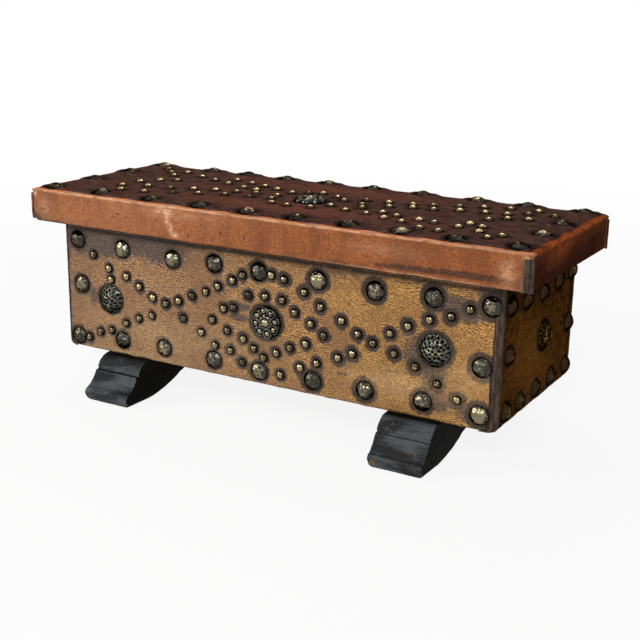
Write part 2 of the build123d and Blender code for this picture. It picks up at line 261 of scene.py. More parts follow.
def nailSeats(node, side, skin):
    # a shank's tip is the deepest point of its nail and lies on its axis
    out = Vector(faces[side][2])
    points = [vertex.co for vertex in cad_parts[node].data.vertices]
    deepest = min(point.dot(out) for point in points)
    tips = {tuple(round(c, 6) for c in point) for point in points if point.dot(out) < deepest + 0.02 * mm}
    height = faceOf(skin, side)[0].translation.dot(out)
    return [Vector(tip) + out * (height - Vector(tip).dot(out)) for tip in sorted(tips)]


def addPiece(name, bm, body, material, node, smooth=True):
    for facet in bm.faces:
        facet.smooth = smooth
    mesh = bpy.data.meshes.new(name)
    bm.to_mesh(mesh)
    bm.free()
    mesh.materials.append(material)
    made = bpy.data.objects.new(name, mesh)
    bpy.context.scene.collection.objects.link(made)
    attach(made, body)
    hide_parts(node)
    return made


def addThickness(made, thick):
    shell = made.modifiers.new("thickness", "SOLIDIFY")
    shell.thickness = thick * mm
    shell.offset = -1


def slab(halfWide, halfTall, thick, step, least=1, top=0.0):
    # a sheet of small squares at that height, with a skirt all round and a plain underside
    bm = bmesh.new()
    columns, rows = (max(least, round(2 * half / step)) for half in (halfWide, halfTall))
    bmesh.ops.create_grid(bm, x_segments=columns, y_segments=rows, size=1)
    bmesh.ops.scale(bm, vec=(halfWide * mm, halfTall * mm, 1), verts=bm.verts)
    bmesh.ops.translate(bm, vec=(0, 0, top * mm), verts=bm.verts)
    rim = [edge for edge in bm.edges if edge.is_boundary]
    skirt = bmesh.ops.extrude_edge_only(bm, edges=rim)["geom"]
    low = [part for part in skirt if isinstance(part, bmesh.types.BMVert)]
    bmesh.ops.translate(bm, vec=(0, 0, -thick * mm), verts=low)
    lowRim = [part for part in skirt if isinstance(part, bmesh.types.BMEdge) and part.is_boundary]
    bmesh.ops.contextual_create(bm, geom=lowRim)
    bmesh.ops.recalc_face_normals(bm, faces=bm.faces)
    return bm


def setAttribute(mesh, name, values):
    held = mesh.attributes.new(name, "FLOAT", "POINT")
    held.data.foreach_set("value", np.asarray(values, np.float32))


def meshPoints(mesh):
    # in millimetres
    points = np.empty(len(mesh.vertices) * 3, np.float32)
    mesh.vertices.foreach_get("co", points)
    return points.reshape(-1, 3).astype(float) / mm


def putPoints(mesh, points):
    mesh.vertices.foreach_set("co", (points * mm).astype(np.float32).ravel())
    mesh.update()


def outOf(place, u, v, w):
    # points of a face, across, up and out from its middle, as points of the box
    return (np.array(place) @ np.array([u * mm, v * mm, w * mm, np.ones(len(u))]))[:3].T / mm


def softStep(values, low, high):
    t = np.clip((values - low) / (high - low), 0, 1)
    return t * t * (3 - 2 * t)


def lumps(points, size, seed):
    # smooth noise from about -1 to 1, with features of that size in millimetres
    return np.array([noise.noise(Vector(p / size) + Vector((seed, seed, seed))) for p in points])


def wander(along, size, seed):
    # the same noise for an edge that was cut by hand, by the distance along it
    return lumps(np.stack([along, 0 * along, 0 * along], 1), size, seed)


def arcIn(away, radius):
    # how far a corner that is worn round draws in, by the distance from its end
    into = np.clip(radius - away, 0, radius)
    return radius - np.sqrt(radius**2 - into**2)


def patches(across, up, spots):
    # soft ellipses: middle across and up, half width, half height, strength
    clear = np.ones(len(across))
    for x, y, wide, tall, strength in spots:
        clear *= 1 - strength * np.exp(-((across - x) / wide) ** 2 - ((up - y) / tall) ** 2)
    return 1 - clear


def gapToNails(points, nails):
    gap = np.full(len(points), 100.0)
    for seat, radius in nails:
        gap = np.minimum(gap, np.linalg.norm(points - np.array(seat) / mm, axis=1) - radius)
    return gap


swell = {"from": -0.6, "full": 1.0, "shoulder": 1.2, "fall": 4.0}  # by the distance from a head's rim


def swelling(points):
    # how much the lid's leather stands up round its large nails, at most 1
    gap = gapToNails(points, [(seat, nailKinds["lid"]["head"][0]) for seat in seats["lid_large_nails"]])
    past = np.maximum(gap - swell["shoulder"], 0) / swell["fall"]
    return softStep(gap, swell["from"], swell["full"]) * np.exp(-(past**2))


# Leather finish

# what most leathers share, and the sizes of their patterns in waves per millimetre
commonLeather = {"turn": (0, 0, 0), "blotchStretch": (1, 1, 1), "scuffStretch": (1, 1, 1)}
leatherWaves = {
    "sway": 0.018, "warp": 0.11, "rim": 0.12, "specks": 0.9, "rag": 0.33, "drift": 0.035, "scuff": 0.5,
    "gloss": 0.09, "pores": 2.2,
}


def leatherFinish(name, look):
    look = {**commonLeather, **look}
    material, tree, shader, coords = startFinish(name)
    # fine wrinkles: short bent lines, like those of a fingertip, broken up by grains
    bent = coords
    for pattern in ("sway", "warp"):
        noisy = addNode(tree, "TexNoise", {"Vector": coords, "Scale": leatherWaves[pattern], "Detail": 2.0})
        pull = addNode(tree, "VectorMath", {0: noisy.outputs["Color"], 3: look[pattern]}, operation="SCALE")
        bent = addNode(tree, "VectorMath", {0: bent, 1: pull.outputs[0]}, operation="ADD").outputs[0]
    laid = stretched(tree, stretched(tree, bent, (1, 1, 1), look["turn"]), look["stretch"])
    wrinkle = fade(tree, cloud(tree, laid, 1 / look["grain"]), *look["sharp"])
    if "lines" in look:
        lines = addNode(tree, "TexWave", {
            "Vector": laid, "Scale": math.pi / 10 / look["period"], "Distortion": 4.5, "Detail": 2.0,
            "Detail Scale": 1.8}, bands_direction="Z").outputs["Fac"]
        lined = addNode(tree, "Mix", {0: look["lines"], 2: wrinkle, 3: lines}).outputs[0]
        wrinkle = fade(tree, lined, 0.1, 0.85)
    # colours: light ridges and darker valleys, warmer towards one end, blotched
    ridge, valley = look["ridge"], look["valley"]
    if "farRidge" in look:
        far = fade(tree, addNode(tree, "SeparateXYZ", {0: coords}).outputs["X"], *look["farFrom"])
        ridge = blendColours(tree, far, ridge, look["farRidge"])
        valley = blendColours(tree, far, valley, look["farValley"])
    colour = blendColours(tree, wrinkle, valley, ridge)
    blotched = stretched(tree, coords, look["blotchStretch"])
    blotch = fade(tree, cloud(tree, blotched, look["blotchScale"], detail=4.0, rough=0.6), 0.4, 0.68)
    colour = blendColours(tree, times(tree, blotch, look["blotchAmount"]), colour, look["blotch"])
    if "rim" in look:
        broken = fade(tree, cloud(tree, coords, leatherWaves["rim"]), 0.3, 0.6)
        colour = blendColours(tree, times(tree, attribute(tree, "rim"), broken), colour, look["rim"])
    if "specks" in look:
        specks = fade(tree, cloud(tree, coords, leatherWaves["specks"], rough=0.6), *look["specksFrom"])
        colour = blendColours(tree, times(tree, specks, look["specksAmount"]), colour, look["specks"])
    # stains round the nails and in patches, with ragged edges
    rag = calc(tree, "SUBTRACT", cloud(tree, coords, leatherWaves["rag"], detail=4.0, rough=0.65), 0.5)
    drift = calc(tree, "SUBTRACT", cloud(tree, coords, leatherWaves["drift"]), 0.5)
    edge = plus(tree, attribute(tree, "nailGap"), times(tree, rag, look["haloRag"]))
    edge = plus(tree, edge, times(tree, drift, look["haloDrift"]))
    if "haloFar" in look:
        edge = calc(tree, "SUBTRACT", edge, times(tree, far, look["haloFar"]))
    halo = times(tree, fade(tree, edge, *look["halo"], 1.0, 0.0), look["haloAmount"])
    stained = fade(tree, plus(tree, attribute(tree, "stain"), times(tree, rag, 0.9)), 0.32, 0.72)
    dark = calc(tree, "MAXIMUM", halo, times(tree, stained, look["stainAmount"]))
    stain = blendColours(tree, wrinkle, look["stainDeep"], look["stainRidge"])
    near = fade(tree, edge, 0.0, max(0.5, look["halo"][1]), 0.8, 0.0)
    stain = blendColours(tree, near, stain, look["haloTone"])
    colour = blendColours(tree, dark, colour, stain)
    # painted shadow: the dark line along under the lid, on the front leather
    if "sootAndShadow" in look:
        colour = blendColours(tree, attribute(tree, "sootAndShadow"), colour, look["sootAndShadow"])
    # worn places are lighter, and so are the painted highlights along arrises
    scuffed = stretched(tree, coords, look["scuffStretch"])
    scuff = fade(tree, cloud(tree, scuffed, leatherWaves["scuff"], detail=4.0, rough=0.7), 0.3, 0.62)
    colour = blendColours(tree, times(tree, attribute(tree, "wearAndHighlight"), scuff), colour, look["worn"])
    gloss = cloud(tree, coords, leatherWaves["gloss"])
    rough = fade(tree, gloss, 0.3, 0.7, look["rough"] - 0.06, look["rough"] + 0.08)
    pores = cloud(tree, coords, leatherWaves["pores"], detail=2.0)
    dress(tree, shader, plus(tree, wrinkle, times(tree, pores, 0.25)), look["bump"], {
        "Base Color": colour, "Roughness": rough, "Specular IOR Level": look["shine"]})
    return material


goldLeather = {
    # the near-black colour on this line is the painted shadow under the lid
    "ridge": paint(190, 146, 100), "valley": paint(98, 66, 44), "sootAndShadow": paint(20, 14, 11),
    "farRidge": paint(208, 157, 88), "farValley": paint(116, 74, 37), "farFrom": (-70, 110),
    "grain": 0.75, "sharp": (0.38, 0.62), "stretch": (0.62, 1, 1), "turn": (0, -8, 0),
    "sway": 30.0, "warp": 5.0, "lines": 0.5, "period": 1.25,
    "blotch": paint(108, 76, 56), "blotchScale": 0.03, "blotchAmount": 0.45,
    "halo": (1.0, 2.4), "haloRag": 4.2, "haloDrift": 4.0, "haloFar": 1.2, "haloAmount": 0.94,
    "haloTone": paint(42, 36, 32),
    "stainDeep": paint(46, 40, 39), "stainRidge": paint(104, 87, 79), "stainAmount": 0.88,
    "worn": paint(222, 184, 134),
    "rough": 0.46, "shine": 0.22, "bump": 0.26,
}
brownLeather = {
    "ridge": paint(98, 62, 22), "valley": paint(46, 26, 9),
    "grain": 3.4, "sharp": (0.32, 0.68), "stretch": (1, 0.5, 1), "sway": 10.0, "warp": 8.0,
    "blotch": paint(58, 28, 15), "blotchScale": 0.03, "blotchAmount": 0.6,
    "halo": (0.4, 2.6), "haloRag": 3.0, "haloDrift": 2.0, "haloAmount": 0.8, "haloTone": paint(18, 12, 8),
    "stainDeep": paint(22, 14, 9), "stainRidge": paint(44, 28, 18), "stainAmount": 0.85,
    "worn": paint(120, 78, 34),
    "rough": 0.4, "shine": 0.0, "bump": 0.12,
}
lidLeather = {
    "ridge": paint(98, 68, 58), "valley": paint(58, 42, 38),
    "grain": 2.0, "sharp": (0.34, 0.66), "stretch": (0.3, 1, 1), "sway": 8.0, "warp": 6.0,
    "blotch": paint(92, 54, 46), "blotchScale": 0.03, "blotchAmount": 0.4,
    "halo": (1.0, 4.0), "haloRag": 3.0, "haloDrift": 3.0, "haloAmount": 0.75, "haloTone": paint(30, 24, 22),
    "stainDeep": paint(36, 30, 29), "stainRidge": paint(62, 51, 48), "stainAmount": 0.8,
    "worn": paint(122, 70, 54), "scuffStretch": (0.25, 1, 1),
    "rough": 0.48, "shine": 0.0, "bump": 0.14,
}
bandLeather = {
    "ridge": paint(172, 110, 70), "valley": paint(132, 80, 50),
    "farRidge": paint(166, 99, 56), "farValley": paint(118, 66, 37), "farFrom": (-140, 100),
    "specks": paint(82, 48, 34), "specksFrom": (0.6, 0.7), "specksAmount": 0.45,
    "grain": 1.2, "sharp": (0.26, 0.7), "stretch": (0.8, 0.8, 1), "sway": 4.0, "warp": 3.0,
    "blotch": paint(112, 62, 38), "blotchScale": 0.07, "blotchAmount": 0.6, "rim": paint(206, 118, 60),
    "blotchStretch": (1, 1, 0.4),
    "halo": (-3.0, -2.0), "haloRag": 0.5, "haloDrift": 0.0, "haloAmount": 0.0, "haloTone": paint(42, 37, 34),
    "stainDeep": paint(52, 36, 30), "stainRidge": paint(88, 60, 48), "stainAmount": 0.85,
    "worn": paint(232, 182, 142), "scuffStretch": (0.3, 0.3, 1),
    "rough": 0.44, "shine": 0.1, "bump": 0.1,
}
endBandLeather = dict(
    bandLeather, ridge=paint(112, 62, 40), valley=paint(76, 38, 24), farRidge=paint(112, 62, 40),
    farValley=paint(76, 38, 24), blotch=paint(64, 34, 22), stainDeep=paint(38, 20, 13),
    stainRidge=paint(64, 36, 25), haloTone=paint(38, 20, 13), worn=paint(190, 100, 50),
    rim=paint(150, 72, 36), shine=0.0,
)
stripLeather = {
    "ridge": paint(70, 56, 46), "valley": paint(32, 26, 22),
    "grain": 1.8, "sharp": (0.34, 0.66), "stretch": (1, 1, 0.4), "sway": 2.0, "warp": 4.0,
    "blotch": paint(46, 33, 26), "blotchScale": 0.06, "blotchAmount": 0.6,
    "halo": (-1.0, 0.5), "haloRag": 1.0, "haloDrift": 0.0, "haloAmount": 0.6, "haloTone": paint(20, 17, 16),
    "stainDeep": paint(20, 17, 16), "stainRidge": paint(34, 29, 27), "stainAmount": 0.85,
    "worn": paint(122, 106, 94), "scuffStretch": (1, 1, 0.2), "rim": paint(128, 92, 76),
    "rough": 0.5, "shine": 0.06, "bump": 0.22,
}
finishes = {name: leatherFinish(name, look) for name, look in (
    ("gold leather", goldLeather), ("brown leather", brownLeather), ("lid leather", lidLeather),
    ("band leather", bandLeather), ("end band leather", endBandLeather), ("strip leather", stripLeather),
)}

# Kinds of nails, and where each set of them sits

nailKinds = {
    # head radius, height and rim, shank radius and length, steps round and up the head
    "large": {"head": (6.25, 3.8, 0.4), "shank": (1.1, 9.0), "around": 36, "rings": 12,
              # how much the nails' tones differ, and the flat blows on each head
              "mood": 0.2, "flats": 11, "depth": 0.96},
    "lid": {"head": (6.5, 3.8, 0.4), "shank": (1.1, 9.0), "around": 36, "rings": 12,
            "mood": 0.2, "flats": 9, "depth": 0.962},
    "small": {"head": (3.0, 2.3, 0.4), "shank": (0.7, 7.0), "around": 12, "rings": 4,
              "mood": 0.12, "flats": 3, "depth": 0.955},
    "boss": {"head": (10.2, 5.0, 0.4), "shank": (1.5, 9.0), "around": 110, "rings": 38, "mood": 0.05},
    "flower": {"head": (11.0, 1.4, 0.4), "top": 3.4, "shank": (1.5, 9.0), "around": 168, "rings": 44,
               "mood": 0.05},
}
nailSets = {
    # the node it stands for, its side of the box, its kind of nail and its brass
    "front_domes": ("front_large_nails", "front", "large", "dome"),
    "front_chain_nails": ("front_small_nails", "front", "small", "small"),
    "front_left_boss": ("front_boss_left", "front", "boss", "boss"),
    "front_right_boss": ("front_boss_right", "front", "boss", "boss"),
    "front_flower": ("front_rosette", "front", "flower", "flower"),
    "left_domes": ("left_end_nails", "left", "large", "end"),
    "left_boss": ("left_end_boss", "left", "boss", "end boss"),
    "right_domes": ("right_end_nails", "right", "large", "end"),
    "right_boss": ("right_end_boss", "right", "boss", "end boss"),
    "back_domes": ("back_nails", "back", "large", "dome"),
    "lid_domes": ("lid_large_nails", "top", "lid", "lid"),
    "lid_chain_nails": ("lid_small_nails", "top", "small", "lid small highlit"),
    "lid_flower": ("lid_rosette", "top", "flower", "flower"),
}
skinOf = {side: f"{side}_leather" for side in ("front", "back", "left", "right")}
skinOf["top"] = "lid_top_leather"
seats = {node: nailSeats(node, side, skinOf[side]) for node, side, kind, brass in nailSets.values()}
allNails = [
    (seat, nailKinds[kind]["head"][0])
    for node, side, kind, brass in nailSets.values() for seat in seats[node]]
print("nail places read from the frame:", len(allNails))

# Leather panels

longPanel = {
    "body": "box", "slot": "case_leather", "finish": "gold leather", "puff": 0.5, "reach": 2.2, "corner": 4.0,
}
endPanel = {
    "body": "box", "slot": "end_leather", "finish": "brown leather", "puff": 0.6, "reach": 3.2, "corner": 4.0,
    "step": 0.9, "lumps": 0.5,
}
panels = {
    "front_skin": {
        # the last key places the painted shadow line, that many millimetres below the top edge
        **longPanel, "side": "front", "step": 0.8, "lumps": 0.25, "seed": 1.0, "shadowLineAt": 4.3,
        # stains: millimetres right of the middle and below the top edge, half width, half height, strength
        "stains": [
            (-92, -9, 36, 13, 0.85), (-146, -12, 18, 14, 0.8), (-124, -14, 12, 9, 0.8),
            (-70, -16, 14, 9, 0.5), (0, 0, 190, 7, 0.8), (-132.5, -16, 0.9, 6, 0.9), (60, -8, 60, 5, 0.4),
            (132, -15, 20, 6, 0.9),
            (140, -22, 12, 5, 0.8), (156, -8, 10, 12, 0.85), (-14, -39.5, 9, 3.2, 0.9), (-17, -47, 11, 3, 0.9),
            (118, -46, 15.5, 15, 0.95), (106, -52, 7, 10, 0.7), (121, -64, 8, 9, 0.9), (124, -78, 8, 6, 0.8),
            (115, -72, 9, 5, 0.6), (146, -80, 12, 8, 0.85), (137, -76, 6, 4, 0.6), (-137, -50, 6, 11, 0.7),
            (59, -70.5, 6, 1.6, 0.7), (91, -62.5, 11, 1.2, 0.62), (-160, -45, 3.4, 50, 0.85),
            (-20, -88.6, 160, 1.6, 0.7), (66, -46, 12, 6, 0.35), (52, -24, 12, 6, 0.3), (94, -40, 7, 8, 0.45),
            (0, -64, 14, 2.5, 0.5), (30, -56, 9, 3, 0.4), (158, -60, 3, 30, 0.6),
        ],
        "worn": [
            (-70, -70, 60, 12, 0.35), (95, -70, 30, 8, 0.5), (140, -60, 16, 14, 0.35), (-100, -88, 40, 3, 0.8),
        ],
    },
    "back_skin": {
        **longPanel, "side": "back", "step": 0.9, "lumps": 0.3, "seed": 5.0,
        "stains": [
            (0, 0, 170, 5, 0.7), (-120, -10, 40, 16, 0.6), (90, -4, 50, 14, 0.6), (0, -88, 170, 3, 0.6),
            (30, -40, 26, 9, 0.45), (-60, -56, 22, 12, 0.4), (158, -44, 6, 50, 0.7), (-158, -44, 6, 50, 0.7),
        ],
        "worn": [(-40, -50, 60, 20, 0.3), (100, -60, 40, 14, 0.3)],
    },
    "right_skin": {
        **endPanel, "side": "right", "seed": 9.0,
        "stains": [(0, 0, 70, 24, 0.75), (-62, -44, 9, 50, 0.6), (62, -44, 12, 50, 0.8), (0, -90, 70, 9, 0.6)],
        "worn": [(-14, -52, 34, 24, 0.9), (10, -70, 30, 12, 0.6)],
    },
    "left_skin": {
        **endPanel, "side": "left", "seed": 13.0,
        "stains": [(0, 0, 70, 24, 0.75), (-62, -44, 12, 50, 0.7), (62, -44, 9, 50, 0.6), (0, -90, 70, 9, 0.6)],
        "worn": [(10, -50, 30, 22, 0.8), (-20, -68, 30, 12, 0.6)],
    },
    "lid_skin": {
        "body": "lid", "slot": "lid_leather", "finish": "lid leather", "puff": 0.4, "reach": 2.0,
        "side": "top", "step": 0.9, "lumps": 0.3, "seed": 17.0, "swell": 1.5,
        "stains": [
            (-150, -64, 34, 60, 0.4), (160, -64, 24, 70, 0.5), (0, -3, 170, 6, 0.5), (0, -124, 170, 5, 0.6),
            (4, -66, 24, 14, 0.45), (-60, -50, 40, 10, 0.35), (80, -64, 50, 9, 0.35),
        ],
        "worn": [
            (0, -24, 76, 12, 0.75), (-10, -98, 70, 12, 0.8), (40, -88, 60, 8, 0.6), (-70, -60, 50, 8, 0.4),
        ],
    },
}


def roundCorner(u, v, halfWide, halfTall, radius):
    # the two lower corners, drawn in to an arc
    inU = np.maximum(np.abs(u) - (halfWide - radius), 0)
    inV = np.maximum(-v - (halfTall - radius), 0)
    corner = (inU > 0) & (inV > 0)
    share = np.ones(len(u))
    share[corner] = np.maximum(inU, inV)[corner] / np.hypot(inU, inV)[corner]
    u = np.where(corner, np.sign(u) * (halfWide - radius + inU * share), u)
    v = np.where(corner, -(halfTall - radius + inV * share), v)
    return u, v


def makePanel(name, panel):
    side, node, seed = panel["side"], skinOf[panel["side"]], panel["seed"]
    place, (halfWide, halfTall, halfThick) = faceOf(node, side)
    bm = slab(halfWide, halfTall, 2 * halfThick, panel["step"])
    made = addPiece(name, bm, panel["body"], finishes[panel["finish"]], node)
    u, v, w = meshPoints(made.data).T
    if side in ("front", "back"):
        u, v = roundCorner(u, v, halfWide, halfTall, panel["corner"])
    onFace = outOf(place, u, v, 0 * w)
    gap = gapToNails(onFace, allNails)
    # it puffs up between the nails and is drawn in at its edges
    edge = np.minimum(halfWide - np.abs(u), halfTall - np.abs(v))
    free = softStep(gap, 0, panel["reach"])
    rise = panel["puff"] + panel["lumps"] * lumps(onFace, 16, seed) + 0.12 * lumps(onFace, 4, seed + 3)
    rise = free * (rise - (panel["puff"] + 0.5) * (1 - softStep(edge, 0, 1.8)))
    if "swell" in panel:
        rise += panel["swell"] * swelling(onFace)
    w = w + np.where(w > -halfThick, rise, 0)
    if side != "top":
        # the lower edge was cut by hand
        ragged = np.clip(0.45 + 0.55 * wander(u, 9, seed + 7), 0, 1.2)
        v = v + ragged * (1 - softStep(v + halfTall, 0, 3))
    if side in ("left", "right"):
        w = w - arcIn(v + halfTall, panel["corner"])
    putPoints(made.data, outOf(place, u, v, w))
    setAttribute(made.data, "nailGap", gap)
    setAttribute(made.data, "stain", patches(u, v - halfTall, panel["stains"]))
    setAttribute(made.data, "wearAndHighlight", patches(u, v - halfTall, panel["worn"]))
    if "shadowLineAt" in panel:
        # a black line of painted shadow runs along under the lid
        down = halfTall - v - panel["shadowLineAt"] - 0.4 * wander(u, 7, 2.0)
        setAttribute(made.data, "sootAndShadow", 0.85 * np.exp(-((down / 0.9) ** 2)))


for name, panel in panels.items():
    makePanel(name, panel)
    print("leather panel", name)


# Nails

brassWaves = {"pits": 1.4, "cool": 0.35}


def metalFinish(name, look):
    material, tree, shader, coords = startFinish(name)
    dents = addNode(tree, "TexVoronoi", {"Vector": coords, "Scale": 1 / look["dent"], "Smoothness": 0.35},
                    feature="SMOOTH_F1").outputs["Distance"]
    pits = cloud(tree, coords, brassWaves["pits"], detail=4.0, rough=0.7)
    mottle = calc(tree, "SUBTRACT", cloud(tree, coords, look["mottle"], rough=0.6), 0.5)
    rise = attribute(tree, "rise")
    # old brass: bare where hands rub it, and this lighter crown also stands for a painted highlight; brown and
    # black towards the rim and in the pits, partly grime and partly painted shade
    rubbed = plus(tree, plus(tree, rise, times(tree, mottle, look["patchy"])), attribute(tree, "mood"))
    colour = blendColours(tree, fade(tree, rubbed, *look["bare"]), look["tarnish"], look["brass"])
    cool = fade(tree, cloud(tree, coords, brassWaves["cool"], detail=2.0), 0.48, 0.66)
    colour = blendColours(tree, times(tree, cool, look["coolAmount"]), colour, look["cool"])
    grime = fade(tree, plus(tree, rise, times(tree, pits, 0.3)), *look["grimeAndShadeTo"], 1.0, 0.0)
    grime = calc(tree, "MAXIMUM", grime, fade(tree, attribute(tree, "pit"), 0.25, 0.75))
    colour = blendColours(tree, grime, colour, look["grime"])
    rough = fade(tree, pits, 0.3, 0.75, look["rough"] - 0.05, look["rough"] + 0.14)
    height = plus(tree, times(tree, dents, look["dentBump"]), times(tree, pits, 0.2))
    # a brown film keeps the rim of each head from shining like a mirror
    dress(tree, shader, height, look["bump"], {
        "Base Color": colour, "Roughness": rough, "Metallic": 1.0, "Specular Tint": look["film"]})
    return material


domeBrass = {
    "tarnish": paint(60, 57, 49), "brass": paint(138, 126, 98), "cool": paint(86, 92, 96), "coolAmount": 0.5,
    "grime": paint(17, 15, 13), "grimeAndShadeTo": (0.15, 0.55), "patchy": 2.4, "mottle": 0.55, "bare": (0.72, 1.15),
    "film": paint(112, 108, 100), "rough": 0.15, "dent": 2.4, "dentBump": 1.0, "bump": 0.45,
}
smallBrass = {
    "tarnish": paint(56, 49, 38), "brass": paint(162, 143, 106), "cool": paint(84, 82, 76), "coolAmount": 0.3,
    "grime": paint(19, 16, 13), "grimeAndShadeTo": (0.4, 0.88), "patchy": 1.2, "mottle": 0.8, "bare": (0.72, 1.05),
    "film": paint(112, 106, 94), "rough": 0.14, "dent": 1.6, "dentBump": 0.6, "bump": 0.16,
}
bossBrass = {
    "tarnish": paint(64, 62, 53), "brass": paint(156, 144, 110), "cool": paint(100, 110, 114),
    "coolAmount": 0.6, "grime": paint(10, 9, 9), "grimeAndShadeTo": (0.08, 0.38), "patchy": 2.2, "mottle": 0.4,
    "bare": (0.72, 1.15),
    "film": paint(116, 112, 104), "rough": 0.22, "dent": 1.5, "dentBump": 0.3, "bump": 0.08,
}
# darker copies of the dome and boss brass for the ends of the box: painted shade
endShadedBrass = dict(
    domeBrass, tarnish=paint(50, 38, 24), brass=paint(98, 76, 46), cool=paint(44, 40, 32), bare=(0.85, 1.3),
    grimeAndShadeTo=(0.05, 0.45), film=paint(60, 52, 42))
endShadedBossBrass = dict(
    bossBrass, tarnish=paint(44, 34, 20), brass=paint(132, 100, 58), cool=paint(52, 44, 30),
    film=paint(60, 52, 38))
lidBrass = dict(
    domeBrass, tarnish=paint(56, 50, 42), brass=paint(146, 130, 100), grimeAndShadeTo=(0.3, 0.75), bare=(0.78, 1.12))
# a lighter copy of the small nails' brass for the lid: painted highlight on their tops
lidSmallHighlitBrass = dict(
    smallBrass, tarnish=paint(78, 66, 50), brass=paint(214, 189, 144), grimeAndShadeTo=(0.32, 0.78),
    bare=(0.56, 0.96))
flowerBrass = dict(
    bossBrass, tarnish=paint(40, 37, 31), brass=paint(154, 141, 112), grimeAndShadeTo=(0.26, 0.6), patchy=1.2,
    bare=(0.62, 0.98), rough=0.18)
brassOf = {
    "dome": metalFinish("tarnished dome brass", domeBrass),
    # the nails on the ends take brass darkened as painted shade
    "end": metalFinish("darker end dome brass", endShadedBrass),
    "lid": metalFinish("lid dome brass", lidBrass),
    "flower": metalFinish("rosette brass", flowerBrass),
    "small": metalFinish("rubbed small nail brass", smallBrass),
    # the lid's small nails take the copy lightened as painted highlight
    "lid small highlit": metalFinish("small nail brass with painted highlight", lidSmallHighlitBrass),
    "boss": metalFinish("hammered boss brass", bossBrass),
    "end boss": metalFinish("darker hammered boss brass", endShadedBossBrass),
}


def sphereOf(kind):
    # the radius of the ball that a head is cut from
    radius, height, rim = kind["head"]
    return (radius**2 + (height - rim) ** 2) / (2 * (height - rim))


def nailTemplate(kind):
    # one nail in millimetres, its seat at height 0, turned from its outline
    radius, height, rim = kind["head"]
    shank, length = kind["shank"]
    outline = [(0, -length), (shank, -length + 2 * shank), (shank, 0), (radius * 0.97, 0), (radius, rim * 0.5)]
    sphere = sphereOf(kind)
    tilt = math.asin(min(1, radius / sphere))
    for ring in range(kind["rings"] + 1):
        angle = tilt * (1 - ring / kind["rings"])
        outline.append((sphere * math.sin(angle), height - sphere + sphere * math.cos(angle)))
    bm = bmesh.new()
    dots = [bm.verts.new((x, 0, z)) for x, z in outline]
    lines = [bm.edges.new(pair) for pair in zip(dots, dots[1:])]
    bmesh.ops.spin(bm, geom=dots + lines, cent=(0, 0, 0), axis=(0, 0, 1), angle=math.tau,
                   steps=kind["around"], use_merge=True)
    bmesh.ops.remove_doubles(bm, verts=bm.verts, dist=1e-4)
    bmesh.ops.recalc_face_normals(bm, faces=bm.faces)
    mesh = bpy.data.meshes.new("nail template")
    bm.to_mesh(mesh)
    bm.free()
    return mesh, np.array([vertex.co for vertex in mesh.vertices], float)


hammer = {"reach": 0.95, "lightest": 0.988, "give": 0.85}  # shares of a head's width, ball and flattening


def hammerFlats(points, kind, dice):
    # a few flat blows of the hammer on a dome
    radius, height, rim = kind["head"]
    sphere = sphereOf(kind)
    centre = np.array((0, 0, height - sphere))
    head = points[:, 2] > rim * 0.9
    shaped = points.copy()
    for blow in range(kind["flats"]):
        lean = math.asin(radius / sphere) * math.sqrt(dice.random()) * hammer["reach"]
        around = dice.uniform(0, math.tau)
        way = np.array((math.sin(lean) * math.cos(around), math.sin(lean) * math.sin(around), math.cos(lean)))
        over = (shaped - centre) @ way - sphere * dice.uniform(kind["depth"], hammer["lightest"])
        shaped -= np.where(head & (over > 0), over, 0)[:, None] * way * hammer["give"]
    return shaped


punch = {
    "tries": 2500, "edge": 0.8, "apart": 2.2, "wide": (1.15, 1.4), "deep": (0.55, 0.8),
    "flatFrom": 0.93, "flatShare": 0.35,
}


def dimples(points, kind, dice):
    # a boss covered in small round punch marks
    radius, height, rim = kind["head"]
    marks = []
    for attempt in range(punch["tries"]):
        x, y = dice.uniform(-radius, radius), dice.uniform(-radius, radius)
        clear = all(math.hypot(x - a, y - b) > punch["apart"] for a, b in marks)
        if clear and math.hypot(x, y) < radius - punch["edge"]:
            marks.append((x, y))
    shaped = points.copy()
    head = points[:, 2] > rim
    sink = np.zeros(len(points))
    for x, y in marks:
        away = np.hypot(points[:, 0] - x, points[:, 1] - y) / dice.uniform(*punch["wide"])
        sink = np.maximum(sink, np.clip(1 - away**2, 0, 1) * dice.uniform(*punch["deep"]))
    shaped[:, 2] -= np.where(head, sink, 0)
    # the middle is beaten nearly flat
    flat = height * punch["flatFrom"]
    beaten = flat + (shaped[:, 2] - flat) * punch["flatShare"]
    shaped[:, 2] = np.where(head & (shaped[:, 2] > flat), beaten, shaped[:, 2])
    return shaped


flower = {
    "petals": 8, "ring": 7.3, "bead": 2.1, "middle": 3.1, "wall": 0.55, "wallHigh": 1.5, "scallop": 0.75,
    # how far a bead may stray, how much taller than a ball it may be, and how high the plate and parts sit
    "stray": 0.15, "tall": (1.0, 1.2), "plate": 0.45, "beadUp": 0.3, "wallUp": 0.4, "middleUp": 0.5,
    "collar": 0.5, "collarHigh": 1.9,
}


